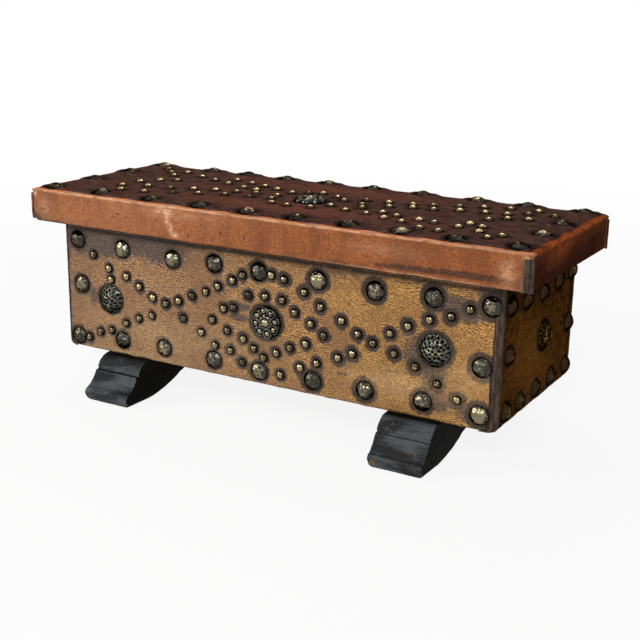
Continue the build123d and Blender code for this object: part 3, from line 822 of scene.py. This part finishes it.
def flowerHead(points, kind, dice):
    # a ring of beads in raised cells round a middle ball, with a scalloped rim
    radius, height, rim = kind["head"]
    shaped = points.copy()
    around = np.arctan2(points[:, 1], points[:, 0])
    out = np.hypot(points[:, 0], points[:, 1])
    wave = np.cos(flower["petals"] * around)
    drawn = 1 - flower["scallop"] / radius * (0.5 - 0.5 * wave) * softStep(out, radius * 0.55, radius)
    head = points[:, 2] > rim * 0.4
    drawn = np.where(head, drawn, 1)
    shaped[:, 0] *= drawn
    shaped[:, 1] *= drawn
    lift = np.full(len(points), flower["plate"])
    for petal in range(flower["petals"]):
        angle = math.tau * petal / flower["petals"]
        reach = flower["ring"] + dice.uniform(-flower["stray"], flower["stray"])
        x, y = reach * math.cos(angle), reach * math.sin(angle)
        away = np.hypot(shaped[:, 0] - x, shaped[:, 1] - y)
        ball = np.sqrt(np.clip(flower["bead"] ** 2 - away**2, 0, None)) * dice.uniform(*flower["tall"])
        wall = flower["wallHigh"] * np.exp(-((away - flower["bead"] - 0.75) / flower["wall"]) ** 2)
        lift = np.maximum(lift, np.maximum(ball + flower["beadUp"], wall + flower["wallUp"]))
    away = np.hypot(shaped[:, 0], shaped[:, 1])
    corner = 1 + 0.06 * np.cos(flower["petals"] * around)
    ball = np.sqrt(np.clip(flower["middle"] ** 2 - away**2, 0, None)) * 1.05
    collar = np.exp(-((away / corner - flower["middle"] - 0.7) / flower["collar"]) ** 2) * flower["collarHigh"]
    lift = np.maximum(lift, np.maximum(ball + flower["middleUp"], collar + flower["wallUp"]))
    lift *= softStep(radius - out, 0.0, 0.9)
    top = points[:, 2] > rim
    shaped[:, 2] = np.where(top, rim + np.clip(lift, 0, None), shaped[:, 2])
    return shaped


shapers = {"boss": dimples, "flower": flowerHead}  # every other kind is a plain dome


def makeNails(name, node, side, kindName, brass):
    kind = nailKinds[kindName]
    template, points = nailTemplate(kind)
    dice = random.Random(name)
    turn = Matrix([Vector(axis) for axis in faces[side]]).transposed()
    bm = bmesh.new()
    rises, moods, pits = [], [], []
    for seat in seats[node]:
        shape = shapers.get(kindName, hammerFlats)(points, kind, dice)
        rises.append(np.clip(shape[:, 2] / kind.get("top", kind["head"][1]), 0, 1))
        hollow = (points[:, 2] - shape[:, 2]) / 0.7 if kindName == "boss" else np.zeros(len(points))
        pits.append(np.clip(hollow, 0, 1))
        moods.append(np.full(len(points), dice.gauss(0, kind["mood"])))
        spun = Matrix.Rotation(dice.uniform(0, math.tau), 3, "Z")
        lean = Matrix.Rotation(math.radians(dice.gauss(0, 1.6)), 3, "X")
        if kindName in shapers:
            spun, lean = Matrix.Rotation(0.2, 3, "Z"), Matrix.Identity(3)
        local = shape @ np.array(turn @ lean @ spun).T * mm + np.array(seat)
        before = len(bm.verts)
        bm.from_mesh(template)
        bm.verts.ensure_lookup_table()
        for vertex, point in zip(bm.verts[before:], local):
            vertex.co = point
    bpy.data.meshes.remove(template)
    made = addPiece(name, bm, "lid" if side == "top" else "box", brassOf[brass], node)
    for key, values in (("rise", rises), ("mood", moods), ("pit", pits)):
        setAttribute(made.data, key, np.concatenate(values))


for name, (node, side, kindName, brass) in nailSets.items():
    makeNails(name, node, side, kindName, brass)
print("nails made")

# Bands round the edge of the lid

bandShape = {"step": 0.9, "thick": 1.3, "overTop": 4.8, "arris": 1.7, "cornerRadius": 4.5, "endGap": 0.3}
bands = {
    "front_band": {
        "side": "front", "seed": 21.0, "corner": -1,
        # millimetres right of the middle and up from the lower edge
        "stains": [
            (-178, 2, 7, 5, 0.95), (-181, 12, 2, 14, 0.8), (-160, 0, 18, 3.2, 0.7), (-110, -0.5, 40, 2, 0.5),
            (-20, 0, 50, 1.8, 0.5), (60, 1.5, 24, 2.6, 0.6), (100, 4.5, 22, 2.2, 0.75),
            (143, 5.2, 34, 2.4, 0.95), (-60, 12, 20, 4, 0.25), (30, 14, 26, 3, 0.25), (150, 13, 12, 6, 0.4),
            (-104.3, 12.3, 1.5, 1, 0.9), (-48, 5, 1.1, 3, 0.6), (-23.4, 9.4, 1, 2.2, 0.85),
            (-5.5, 8.4, 1, 2.4, 0.85), (-30, 4, 2.2, 1, 0.6), (176, 5, 5, 14, 0.5),
        ],
        "worn": [
            (-67, 18.5, 5.5, 3, 0.95), (-64.5, 13, 1.6, 4, 0.9), (-61.5, 7.5, 1.4, 3.4, 0.9),
            # the long thin lines at 21.6, along the arris, are partly wear and partly painted highlight
            (-58, 3.6, 2.4, 2.2, 0.9), (-100, 21.6, 90, 0.9, 1.0), (60, 21.6, 130, 0.8, 0.9),
            (176.5, 19.2, 2.2, 1.2, 1.0),
            (-176.5, 18.5, 1.6, 1.6, 0.9), (-168, 10, 6, 8, 0.35), (166, 10, 5, 7, 0.55), (90, 13, 24, 4, 0.2),
            (-60, 17, 40, 3, 0.25), (110, 0.6, 60, 0.9, 0.75),
        ],
    },
    "back_band": {
        "side": "back", "seed": 25.0, "swell": 1.5, "darkFrom": 20.6,
        "stains": [(0, 0, 180, 4, 0.6), (-90, 12, 40, 5, 0.4), (110, 9, 30, 7, 0.5)],
        # its line at 20.8, along the arris, is partly wear and partly painted highlight
        "worn": [(0, 20.8, 190, 0.8, 0.6)],
    },
    "right_band": {
        "side": "right", "seed": 29.0,
        "stains": [(0, 2, 80, 8, 0.85), (-60, 8, 20, 14, 0.7), (40, 12, 30, 8, 0.6), (0, 13, 16, 5, 0.5)],
        # its line at 21.4, along the arris, is partly wear and partly painted highlight
        "worn": [(0, 21.4, 80, 1.4, 0.95), (-20, 17, 20, 4, 0.4)],
    },
    "left_band": {
        "side": "left", "seed": 33.0, "corner": 1,
        "stains": [(0, 1, 80, 5, 0.7), (-50, 8, 20, 10, 0.6), (50, 9, 20, 12, 0.5)],
        # its line at 21.4, along the arris, is partly wear and partly painted highlight
        "worn": [(0, 21.4, 80, 1.4, 0.9)],
    },
}


def bandPath(distance, out, tall):
    # up the band's face, round its arris and inwards over the top: how far in and how high
    arris = bandShape["arris"]
    straight = tall - arris
    curve = arris * math.pi / 2
    bend = np.clip((distance - straight) / curve, 0, 1) * math.pi / 2
    over = np.clip(distance - straight - curve, 0, None)
    inward = arris - (arris + out) * np.cos(bend) + over
    inward -= np.where(distance < straight, out, 0)  # the face is twice as uneven as the arris
    high = np.minimum(distance, straight) + (arris + out) * np.sin(bend)
    return inward, high


def makeBand(name, band):
    side, seed, node = band["side"], band["seed"], f"lid_{name}"
    onEnd = side in ("left", "right")
    place, (halfWide, halfTall, halfThick) = faceOf(node, side)
    if onEnd:
        halfWide -= bandShape["endGap"]
    tall = 2 * halfTall
    straight = tall - bandShape["arris"]
    length = straight + bandShape["arris"] * (math.pi / 2 - 1) + bandShape["overTop"]
    bm = bmesh.new()
    columns, rows = round(2 * halfWide / bandShape["step"]), round(length / bandShape["step"]) * 2
    bmesh.ops.create_grid(bm, x_segments=columns, y_segments=rows, size=1)
    finish = "end band leather" if onEnd else "band leather"
    made = addPiece(name, bm, "lid", finishes[finish], node)
    grid = meshPoints(made.data) * mm
    u, distance = grid[:, 0] * halfWide, (grid[:, 1] + 1) / 2 * length
    # its surface is uneven: it lies low at its foot and its ends, and its upper edge stands up a little
    spread = np.stack([u, distance, 0 * u], 1)
    out = -0.18 + 0.18 * lumps(spread, 14, seed) + 0.07 * lumps(spread, 3, seed + 1)
    out += 0.25 * softStep(distance, length - 3, length - 1) - 0.12 * softStep(distance, length - 3, length)
    out -= 0.5 * (1 - softStep(distance, 0, 1.2))
    out -= 0.8 * (1 - softStep(halfWide - np.abs(u), 0, 1.6))
    inward, high = bandPath(distance, out, tall)
    # both edges were cut by hand
    inward += (0.5 * wander(u, 11, seed + 5) + 0.35) * softStep(distance, length - 3.2, length)
    ragged = np.clip(0.25 + 0.4 * wander(u, 17, seed + 9), 0, 1)
    high = high + ragged * (1 - softStep(high, 0, 3))
    if "corner" in band:
        lift = arcIn(halfWide - band["corner"] * u, bandShape["cornerRadius"])
        high = high + lift * np.clip(1 - high / tall, 0, 1)
    points = outOf(place, u, high - halfTall, -inward)
    if "swell" in band:
        lifted = (distance > straight) * band["swell"] * swelling(points)
        points[:, 2] += lifted * softStep(distance, straight, tall)
    putPoints(made.data, points)
    stain, rim = patches(u, high, band["stains"]), softStep(distance, tall - 0.6, tall + 0.8)
    if "darkFrom" in band:
        stain = np.maximum(stain, softStep(distance, band["darkFrom"], band["darkFrom"] + 1.2))
        rim = 0 * rim
    setAttribute(made.data, "nailGap", np.full(len(u), 50.0))
    setAttribute(made.data, "stain", stain)
    setAttribute(made.data, "wearAndHighlight", patches(u, distance, band["worn"]))
    setAttribute(made.data, "rim", rim)
    addThickness(made, bandShape["thick"])


for name, band in bands.items():
    makeBand(name, band)
print("lid bands made")


# Strips folded round the upright corners

stripShape = {"step": 0.8, "bend": 1.3, "thick": 0.5, "glue": 0.03, "foot": 4.0}
strips = {
    "case": {
        "skins": ("front_leather", "back_leather"), "body": "box", "lap": 3.4, "high": 0.75, "drop": 0,
        "limit": 1.15, "sootAndShadow": 0.0, "seed": 40.0,
        # how far it reaches over the long face, at its top and at its foot
        "front_left": (2.6, 1.9), "front_right": (3.9, 6.6), "back_left": (4.4, 6.2), "back_right": (4.4, 6.2),
    },
    "lid": {
        "skins": ("lid_front_band", "lid_back_band"), "body": "lid", "lap": 2.6, "high": 0.45, "drop": 2.4,
        "limit": 0.72, "sootAndShadow": 0.5, "seed": 80.0,
        "front_left": (1.5, 1.7), "front_right": (6.0, 6.8), "back_left": (5.0, 5.6), "back_right": (5.0, 5.6),
    },
}


def folded(across, out):
    # round the corner: how far past it the strip lies, along the box and front to back
    bend = stripShape["bend"]
    angle = np.clip((across + bend) / (2 * bend), 0, 1) * math.pi / 2
    pastX = -bend + (bend + out) * np.sin(angle) + np.minimum(across + bend, 0)
    pastY = -bend + (bend + out) * np.cos(angle) - np.maximum(across - bend, 0)
    return pastX, pastY


def turnOutwards(mesh, way):
    bm = bmesh.new()
    bm.from_mesh(mesh)
    bmesh.ops.recalc_face_normals(bm, faces=bm.faces)
    if sum(facet.normal.dot(way) for facet in bm.faces) < 0:
        bmesh.ops.reverse_faces(bm, faces=bm.faces)
    bm.to_mesh(mesh)
    bm.free()


def makeStrip(part, depthSide, lengthSide, seed):
    strip, glue = strips[part], stripShape["glue"]
    node = f"{part}_strip_{depthSide}_{lengthSide}"
    low, high = (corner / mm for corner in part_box(node))
    skinLow, skinHigh = (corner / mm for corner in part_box(strip["skins"][depthSide == "back"]))
    awayX = 1 if lengthSide == "right" else -1
    awayY = 1 if depthSide == "back" else -1
    cornerX = skinHigh.x if awayX > 0 else skinLow.x
    cornerY = skinHigh.y if awayY > 0 else skinLow.y
    tall = high.z - low.z - strip["drop"]
    wideTop, wideFoot = strip[f"{depthSide}_{lengthSide}"]
    columns = round((wideFoot + strip["lap"]) / stripShape["step"]) + 3
    bm = bmesh.new()
    bmesh.ops.create_grid(bm, x_segments=columns, y_segments=round(tall / stripShape["step"]), size=1)
    made = addPiece(f"{part}_{depthSide}_{lengthSide}_strip", bm, strip["body"],
                    finishes["strip leather"], node)
    grid = meshPoints(made.data) * mm
    share, rise = (grid[:, 0] + 1) / 2, (grid[:, 1] + 1) / 2
    up = low.z + rise * tall
    column = np.stack([0 * up, 0 * up, up], 1)
    # the strip was cut by hand: it widens downwards and its edges wander
    wide = wideFoot + (wideTop - wideFoot) * rise
    wide += 0.5 * lumps(column, 13, seed) + 0.3 * lumps(column, 4, seed)
    lap = strip["lap"] + 0.5 * lumps(column, 11, seed + 2)
    across = -wide + share * (wide + lap)
    edge = np.minimum(across + wide, lap - across)
    out = glue + strip["high"] * softStep(edge, -0.2, 1.3)
    out += 0.16 * lumps(np.stack([across * 2, 0 * up, up], 1), 5, seed + 4) * softStep(edge, 0, 1.5)
    crease = (across + 2.6 + 0.4 * lumps(column, 20, seed + 6)) / 0.5
    out += 0.22 * np.exp(-(crease**2)) * softStep(edge, 0, 1)
    # it lies flat under the nails' heads
    pastX, pastY = folded(across, out)
    gap = gapToNails(np.stack([cornerX + awayX * pastX, cornerY + awayY * pastY, up], 1), allNails)
    out = np.minimum(glue + (out - glue) * softStep(gap, -0.3, 1.6), strip["limit"])
    pastX, pastY = folded(across, out)
    if part == "case":
        # the box's lower corners are worn round
        pastX -= arcIn(up - low.z, stripShape["foot"])
        up = up + 0.3
    else:
        torn = softStep(up, low.z + tall - 3, low.z + tall)
        up = up + 0.2 + torn * 0.8 * wander(across, 2.5, seed + 8)
        if (depthSide, lengthSide) == ("front", "left"):
            up = up + arcIn(np.abs(across), bandShape["cornerRadius"]) * (1 - rise)
    putPoints(made.data, np.stack([cornerX + awayX * pastX, cornerY + awayY * pastY, up], 1))
    faded = np.clip(1.8 * np.exp(-((across + wide) / 1.8) ** 2), 0, 1) * (part == "lid")
    # darker by the part's soot, and darker along the strip's edges
    sooty = strip["sootAndShadow"] + 0.35 * np.exp(-((edge - 0.2) / 0.5) ** 2)
    # painted highlights: light lines along the corner's arris and along the crease, stored with the wear
    paintedHighlightLines = np.exp(-((across / 1.0) ** 2)) * 0.55 + np.exp(-((across + 2.6) / 0.6) ** 2) * 0.5
    for key, values in (("nailGap", gap), ("rim", faded), ("stain", sooty * (1 - faded)), ("wearAndHighlight", paintedHighlightLines)):
        setAttribute(made.data, key, values)
    turnOutwards(made.data, Vector((awayX, awayY, 0)))
    addThickness(made, stripShape["thick"])


corners = [(y, x) for y in ("front", "back") for x in ("left", "right")]
for number, (depthSide, lengthSide) in enumerate(corners):
    for part, strip in strips.items():
        makeStrip(part, depthSide, lengthSide, strip["seed"] + number * 9)
print("corner strips made")

# Wood

woodWaves = {"wander": 0.03, "scratch": 1.3, "chips": 0.55}


def woodFinish(name, look):
    material, tree, shader, coords = startFinish(name)
    wavy = times(tree, cloud(tree, coords, woodWaves["wander"], detail=2.0), look["wander"])
    straight = stretched(tree, coords, look["stretch"])
    grain = addNode(tree, "VectorMath", {0: straight, 1: wavy}, operation="ADD").outputs[0]
    rings = fade(tree, cloud(tree, grain, look["ring"]), 0.35, 0.68)
    fibres = cloud(tree, grain, look["fibre"], rough=0.65)
    tone = plus(tree, times(tree, rings, 0.55), times(tree, fibres, 0.45))
    colour = blendColours(tree, fade(tree, tone, 0.25, 0.75), look["deep"], look["light"])
    if "shade" in look:
        # black paint, scratched and rubbed; lighter where it faces front or back, and painted shade darkens it
        # elsewhere
        scratches = cloud(tree, stretched(tree, coords, (0.7, 1, 1.6)), woodWaves["scratch"])
        scratched = times(tree, fade(tree, scratches, 0.56, 0.68), 0.5)
        colour = blendColours(tree, scratched, colour, look["scratch"])
        rubbed = times(tree, attribute(tree, "edge"), fade(tree, fibres, 0.4, 0.6))
        colour = blendColours(tree, rubbed, colour, look["scratch"])
        colour = blendColours(tree, attribute(tree, "facesFrontOrBack"), look["shade"], colour)
    dirt = fade(tree, cloud(tree, coords, look["dirtScale"], detail=4.0, rough=0.6), 0.45, 0.7)
    colour = blendColours(tree, times(tree, dirt, look["dirtAmount"]), colour, look["dirt"])
    chips = calc(tree, "SUBTRACT", cloud(tree, coords, woodWaves["chips"], detail=4.0, rough=0.7), 0.5)
    worn = fade(tree, plus(tree, attribute(tree, "wearAndHighlight"), times(tree, chips, 1.3)), 0.62, 0.8)
    colour = blendColours(tree, worn, colour, look["worn"])
    rough = fade(tree, fibres, 0.3, 0.7, look["rough"] - 0.08, look["rough"] + 0.08)
    dress(tree, shader, plus(tree, fibres, times(tree, rings, 0.4)), look["bump"], {
        "Base Color": colour, "Roughness": rough, "Specular IOR Level": look["shine"]})
    return material


blackWood = {
    "stretch": (0.3, 0.6, 1.1), "wander": 1.5, "ring": 0.12, "fibre": 0.8,
    # shade: painted shade for the sides that face neither front nor back
    "light": paint(84, 87, 90), "deep": paint(40, 41, 42), "shade": paint(11, 11, 9),
    "dirt": paint(40, 36, 33), "scratch": paint(104, 106, 108),
    "dirtScale": 0.05, "dirtAmount": 0.4, "worn": paint(112, 90, 66),
    "rough": 0.65, "shine": 0.03, "bump": 0.45,
}
plainWood = {
    "stretch": (0.06, 1, 1), "wander": 1.2, "ring": 0.16, "fibre": 1.1,
    "light": paint(162, 120, 78), "deep": paint(104, 70, 42), "dirt": paint(66, 46, 32), "dirtScale": 0.04,
    "dirtAmount": 0.6, "worn": paint(180, 140, 96), "rough": 0.62, "shine": 0.35, "bump": 0.12,
}
crossWood = dict(plainWood, stretch=(1, 0.06, 1))
finishes["black wood"] = woodFinish("black painted wood", blackWood)
finishes["plain wood"] = woodFinish("plain aged wood", plainWood)
finishes["cross wood"] = woodFinish("plain aged wood, end boards", crossWood)

feet = {
    "bevel": 0.4, "voxel": 0.5, "smooths": 1, "wearSmooths": 20, "wobble": 0.1, "grain": 0.12,
    "round": 3.0, "roundTo": 9,
    # chips on the front: millimetres right of the runner's middle and up, half width, half height, strength
    "left": [
        (2, 4.4, 3.4, 2.0, 0.75), (-8, 4, 5, 1.4, 0.5), (17.4, 4, 1.2, 1.6, 0.9), (17.6, 17, 1.2, 1.8, 0.8),
    ],
    "right": [
        (-14.6, 4, 3, 3, 1.0), (-8, 2.5, 4, 1.6, 0.6), (-9, 25, 0.8, 2.6, 0.85),
        (-11.4, 22.4, 0.8, 1.8, 0.85), (11, 12, 1.4, 2.4, 0.8), (0, 12, 2.6, 1.4, 0.5),
    ],
}


def solidCopy(node):
    # the node's shape as one clean mesh: its triangles come apart, so they are merged first
    bm = bmesh.new()
    bm.from_mesh(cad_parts[node].data)
    bmesh.ops.remove_doubles(bm, verts=bm.verts, dist=0.001 * mm)
    bmesh.ops.dissolve_limit(bm, angle_limit=math.radians(1), verts=bm.verts, edges=bm.edges)
    return bm


def smoothed(bm, passes):
    # where the points lie after so many passes, in millimetres
    for turn in range(passes):
        bmesh.ops.smooth_vert(
            bm, verts=bm.verts, factor=0.5, use_axis_x=True, use_axis_y=True, use_axis_z=True)
    return np.array([vertex.co for vertex in bm.verts]) / mm


def makeFoot(side, seed):
    node = f"foot_runner_{side}"
    low, high = (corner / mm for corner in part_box(node))
    bm = solidCopy(node)
    sharp = [edge for edge in bm.edges if edge.is_manifold and edge.calc_face_angle(0) > math.radians(30)
             and edge.calc_length() > 20 * mm]
    bmesh.ops.bevel(bm, geom=sharp, offset=feet["bevel"] * mm, segments=2, profile=0.5, affect="EDGES",
                    material=-1, clamp_overlap=True)
    made = addPiece(f"{side}_runner", bm, "box", finishes["black wood"], node)
    remesh = made.modifiers.new("remesh", "REMESH")
    remesh.mode = "VOXEL"
    remesh.voxel_size = feet["voxel"] * mm
    shaped = bpy.data.meshes.new_from_object(made.evaluated_get(bpy.context.evaluated_depsgraph_get()))
    made.modifiers.clear()
    made.data = shaped
    bm = bmesh.new()
    bm.from_mesh(shaped)
    points = smoothed(bm, feet["smooths"])
    normals = np.array([vertex.normal for vertex in bm.verts])
    # arrises are where a lot of smoothing would draw the surface in
    soft = bm.copy()
    edge = ((points - smoothed(soft, feet["wearSmooths"])) * normals).sum(1)
    soft.free()
    dent = feet["wobble"] * lumps(points, 9, seed)
    dent += feet["grain"] * lumps(points * np.array((0.25, 0.6, 2.2)), 2.4, seed + 3)
    dent -= 0.5 * softStep(edge, 0.15, 0.6) * softStep(lumps(points, 5, seed + 6), 0.05, 0.45)
    points = points + normals * (dent - 0.12)[:, None]
    # the lower corners at both ends are worn round
    lift = arcIn(np.minimum(points[:, 0] - low.x, high.x - points[:, 0]), feet["round"])
    points[:, 2] += lift * np.clip(1 - (points[:, 2] - low.z) / feet["roundTo"], 0, 1)
    points[:, 1] = np.clip(points[:, 1], low.y + 0.05, high.y - 0.05)
    points[:, 2] = np.clip(points[:, 2], low.z, high.z)
    for vertex, point in zip(bm.verts, points):
        vertex.co = point * mm
    bm.to_mesh(shaped)
    bm.free()
    for facet in shaped.polygons:
        facet.use_smooth = True
    chipped = patches(points[:, 0] - (low.x + high.x) / 2, points[:, 2], feet[side])
    chipped *= softStep(-normals[:, 1], 0.1, 0.5)
    setAttribute(shaped, "wearAndHighlight", np.clip(edge * 0.5 + chipped, 0, 1))
    setAttribute(shaped, "edge", np.clip(edge * 1.3, 0, 1))
    # 1 where it faces front or back; elsewhere the painted shade
    setAttribute(shaped, "facesFrontOrBack", softStep(np.abs(normals[:, 1]), 0.2, 0.7))
    if not shaped.materials:
        shaped.materials.append(finishes["black wood"])


makeFoot("left", 130.0)
makeFoot("right", 150.0)
print("runner feet made")

# Boards, and a skin below the lid, with some corners worn round

wornRound = {
    "front": {"radius": 3.6, "steps": 6, "outside": 150}, "end": {"radius": 3.6, "steps": 6, "outside": 155},
    "skin": {"radius": 3, "steps": 4}, "closeBy": 0.01,
}


def lowerEdge(edge, low, high, outside):
    # does it run front to back at the foot of the box, at its left or right side?
    a, b = (vertex.co / mm for vertex in edge.verts)
    closeBy = wornRound["closeBy"]
    atFoot = all(p.z < low.z + closeBy and min(abs(p.x - low.x), abs(p.x - high.x)) < closeBy for p in (a, b))
    return atFoot and abs(a.y - b.y) > 1 and abs(a.x) > outside


def frontLeftEdge(edge, low, high):
    corners = [vertex.co / mm - low for vertex in edge.verts]
    return all(max(abs(corner.x), abs(corner.y)) < wornRound["closeBy"] for corner in corners)


def makeRounded(name, node, body, slot, finish, isWorn, radius, steps, **limits):
    low, high = (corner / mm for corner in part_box(node))
    bm = solidCopy(node)
    worn = [edge for edge in bm.edges if isWorn(edge, low, high, **limits)]
    bmesh.ops.bevel(bm, geom=worn, offset=radius * mm, segments=steps, profile=0.5, affect="EDGES",
                    material=-1)
    bmesh.ops.triangulate(bm, faces=[facet for facet in bm.faces if len(facet.verts) > 4])
    addPiece(name, bm, body, finishes[finish], node, smooth=False)


for side in ("front", "back", "left", "right"):
    worn, finish = ("end", "cross wood") if side in ("left", "right") else ("front", "plain wood")
    makeRounded(f"{side}_wood", f"{side}_board", "box", "case_wood", finish, lowerEdge, **wornRound[worn])
print("boards made")

# Linings of dark red velvet

velvetWaves = {"nap": 0.06, "fuzz": 3.0, "age": 0.018}


def velvetFinish(name, look):
    material, tree, shader, coords = startFinish(name)
    nap = cloud(tree, coords, velvetWaves["nap"], detail=4.0, rough=0.6)
    fuzz = cloud(tree, coords, velvetWaves["fuzz"], detail=2.0)
    colour = blendColours(tree, fade(tree, nap, 0.35, 0.66), look["deep"], look["light"])
    colour = blendColours(tree, fade(tree, fuzz, 0.55, 0.8), colour, look["tip"])
    age = fade(tree, cloud(tree, coords, velvetWaves["age"]), 0.52, 0.75)
    colour = blendColours(tree, times(tree, age, 0.5), colour, look["age"])
    dress(tree, shader, plus(tree, fuzz, nap), look["bump"], {
        "Base Color": colour, "Roughness": look["rough"], "Specular IOR Level": look["shine"],
        "Sheen Weight": look["sheen"], "Sheen Roughness": look["sheenRough"], "Sheen Tint": look["tip"]})
    return material


velvet = {
    "deep": paint(58, 14, 18), "light": paint(98, 28, 30), "tip": paint(128, 54, 52),
    "age": paint(80, 48, 38), "rough": 0.92, "shine": 0.15, "sheen": 0.5, "sheenRough": 0.45, "bump": 0.15,
}
finishes["velvet"] = velvetFinish("dark red velvet", velvet)

liningShape = {"step": 2.0, "least": 6, "thinnest": 0.3, "edge": 5.0, "tuftReach": 5.5}
linings = {
    "floor": {"up": (0, 0, 1), "body": "box", "crown": 1.3, "tufts": (5, 2)},
    "front": {"up": (0, 1, 0), "body": "box", "crown": 0.4},
    "back": {"up": (0, -1, 0), "body": "box", "crown": 0.4},
    "left": {"up": (1, 0, 0), "body": "box", "crown": 0.4},
    "right": {"up": (-1, 0, 0), "body": "box", "crown": 0.4},
    "lid": {"up": (0, 0, -1), "body": "lid", "crown": 0.8, "tufts": (5, 2)},
}


def makeLining(where, pad, seed):
    # a thin glued pad: crowned, drawn in at its edges and at its buttons
    node, crown = f"{where}_lining", pad["crown"]
    low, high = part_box(node)
    up = Vector(pad["up"])
    side = Vector((1, 0, 0)) if abs(up.x) < 0.5 else Vector((0, 1, 0))
    other = up.cross(side)
    halfWide, halfTall, halfThick = (abs((high - low).dot(axis)) / 2 / mm for axis in (side, other, up))
    place = Matrix((side, other, up)).transposed().to_4x4()
    place.translation = (low + high) / 2 - up * halfThick * mm
    thick = 2 * halfThick
    bm = slab(halfWide, halfTall, thick, liningShape["step"], liningShape["least"], top=thick)
    made = addPiece(f"{where}_velvet", bm, pad["body"], finishes["velvet"], node)
    u, v, w = meshPoints(made.data).T
    edge = np.minimum(halfWide - np.abs(u), halfTall - np.abs(v))
    drop = crown * (1 - softStep(edge, -0.5, liningShape["edge"]))
    drop += 0.12 * crown * (1 - lumps(np.stack([u, v, 0 * u], 1), 14, seed))
    across, along = pad.get("tufts", (0, 0))
    for i in range(across):
        for j in range(along):
            x, y = halfWide * (-1 + (2 * i + 1) / across), halfTall * (-1 + (2 * j + 1) / along)
            drop += 0.7 * crown * np.exp(-((u - x) ** 2 + (v - y) ** 2) / liningShape["tuftReach"] ** 2)
    w = np.where(w > halfThick, w - np.clip(drop, 0, thick - liningShape["thinnest"]), w)
    putPoints(made.data, outOf(place, u, v, w))


for number, (where, pad) in enumerate(linings.items()):
    makeLining(where, pad, 170.0 + number * 7)
print("linings made")

# Finishes of the pieces that keep their frame shape

hardwareWaves = {"pits": 1.1, "film": 0.22}


def hardwareFinish(name, look):
    material, tree, shader, coords = startFinish(name)
    pits = cloud(tree, coords, hardwareWaves["pits"], detail=4.0, rough=0.65)
    film = fade(tree, cloud(tree, coords, hardwareWaves["film"]), 0.4, 0.66)
    colour = blendColours(tree, film, look["bare"], look["film"])
    colour = blendColours(tree, fade(tree, pits, 0.58, 0.75), colour, look["grime"])
    rough = fade(tree, pits, 0.3, 0.7, look["rough"] - 0.08, look["rough"] + 0.14)
    dress(tree, shader, pits, 0.08, {"Base Color": colour, "Roughness": rough, "Metallic": 1.0})
    return material


hingeBrass = {
    "bare": paint(150, 122, 70), "film": paint(96, 80, 52), "grime": paint(42, 36, 26), "rough": 0.36,
}
oldSteel = {
    "bare": paint(112, 108, 102), "film": paint(82, 70, 60), "grime": paint(52, 38, 30), "rough": 0.42,
}
finishes["hinge brass"] = hardwareFinish("dull hinge brass", hingeBrass)
finishes["old steel"] = hardwareFinish("old steel", oldSteel)

makeRounded("under_skin", "lid_under_leather", "lid", "lid_leather", "lid leather", frontLeftEdge,
            **wornRound["skin"])

hingeParts = ("body_leaf", "lid_leaf", "pin")
hingeNodes = [f"{side}_hinge_{part}" for side in ("left", "right") for part in hingeParts]
keptNodes = {
    "hinge brass": hingeNodes,
    "old steel": ["body_hinge_screws", "lid_hinge_screws", "case_brads", "foot_screws"],
    "plain wood": ["bottom_board", "lid_plank"],
}
for finish, names in keptNodes.items():
    for name in names:
        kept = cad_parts[name]
        kept.data.materials.clear()
        kept.data.materials.append(finishes[finish])
print("kept pieces finished")
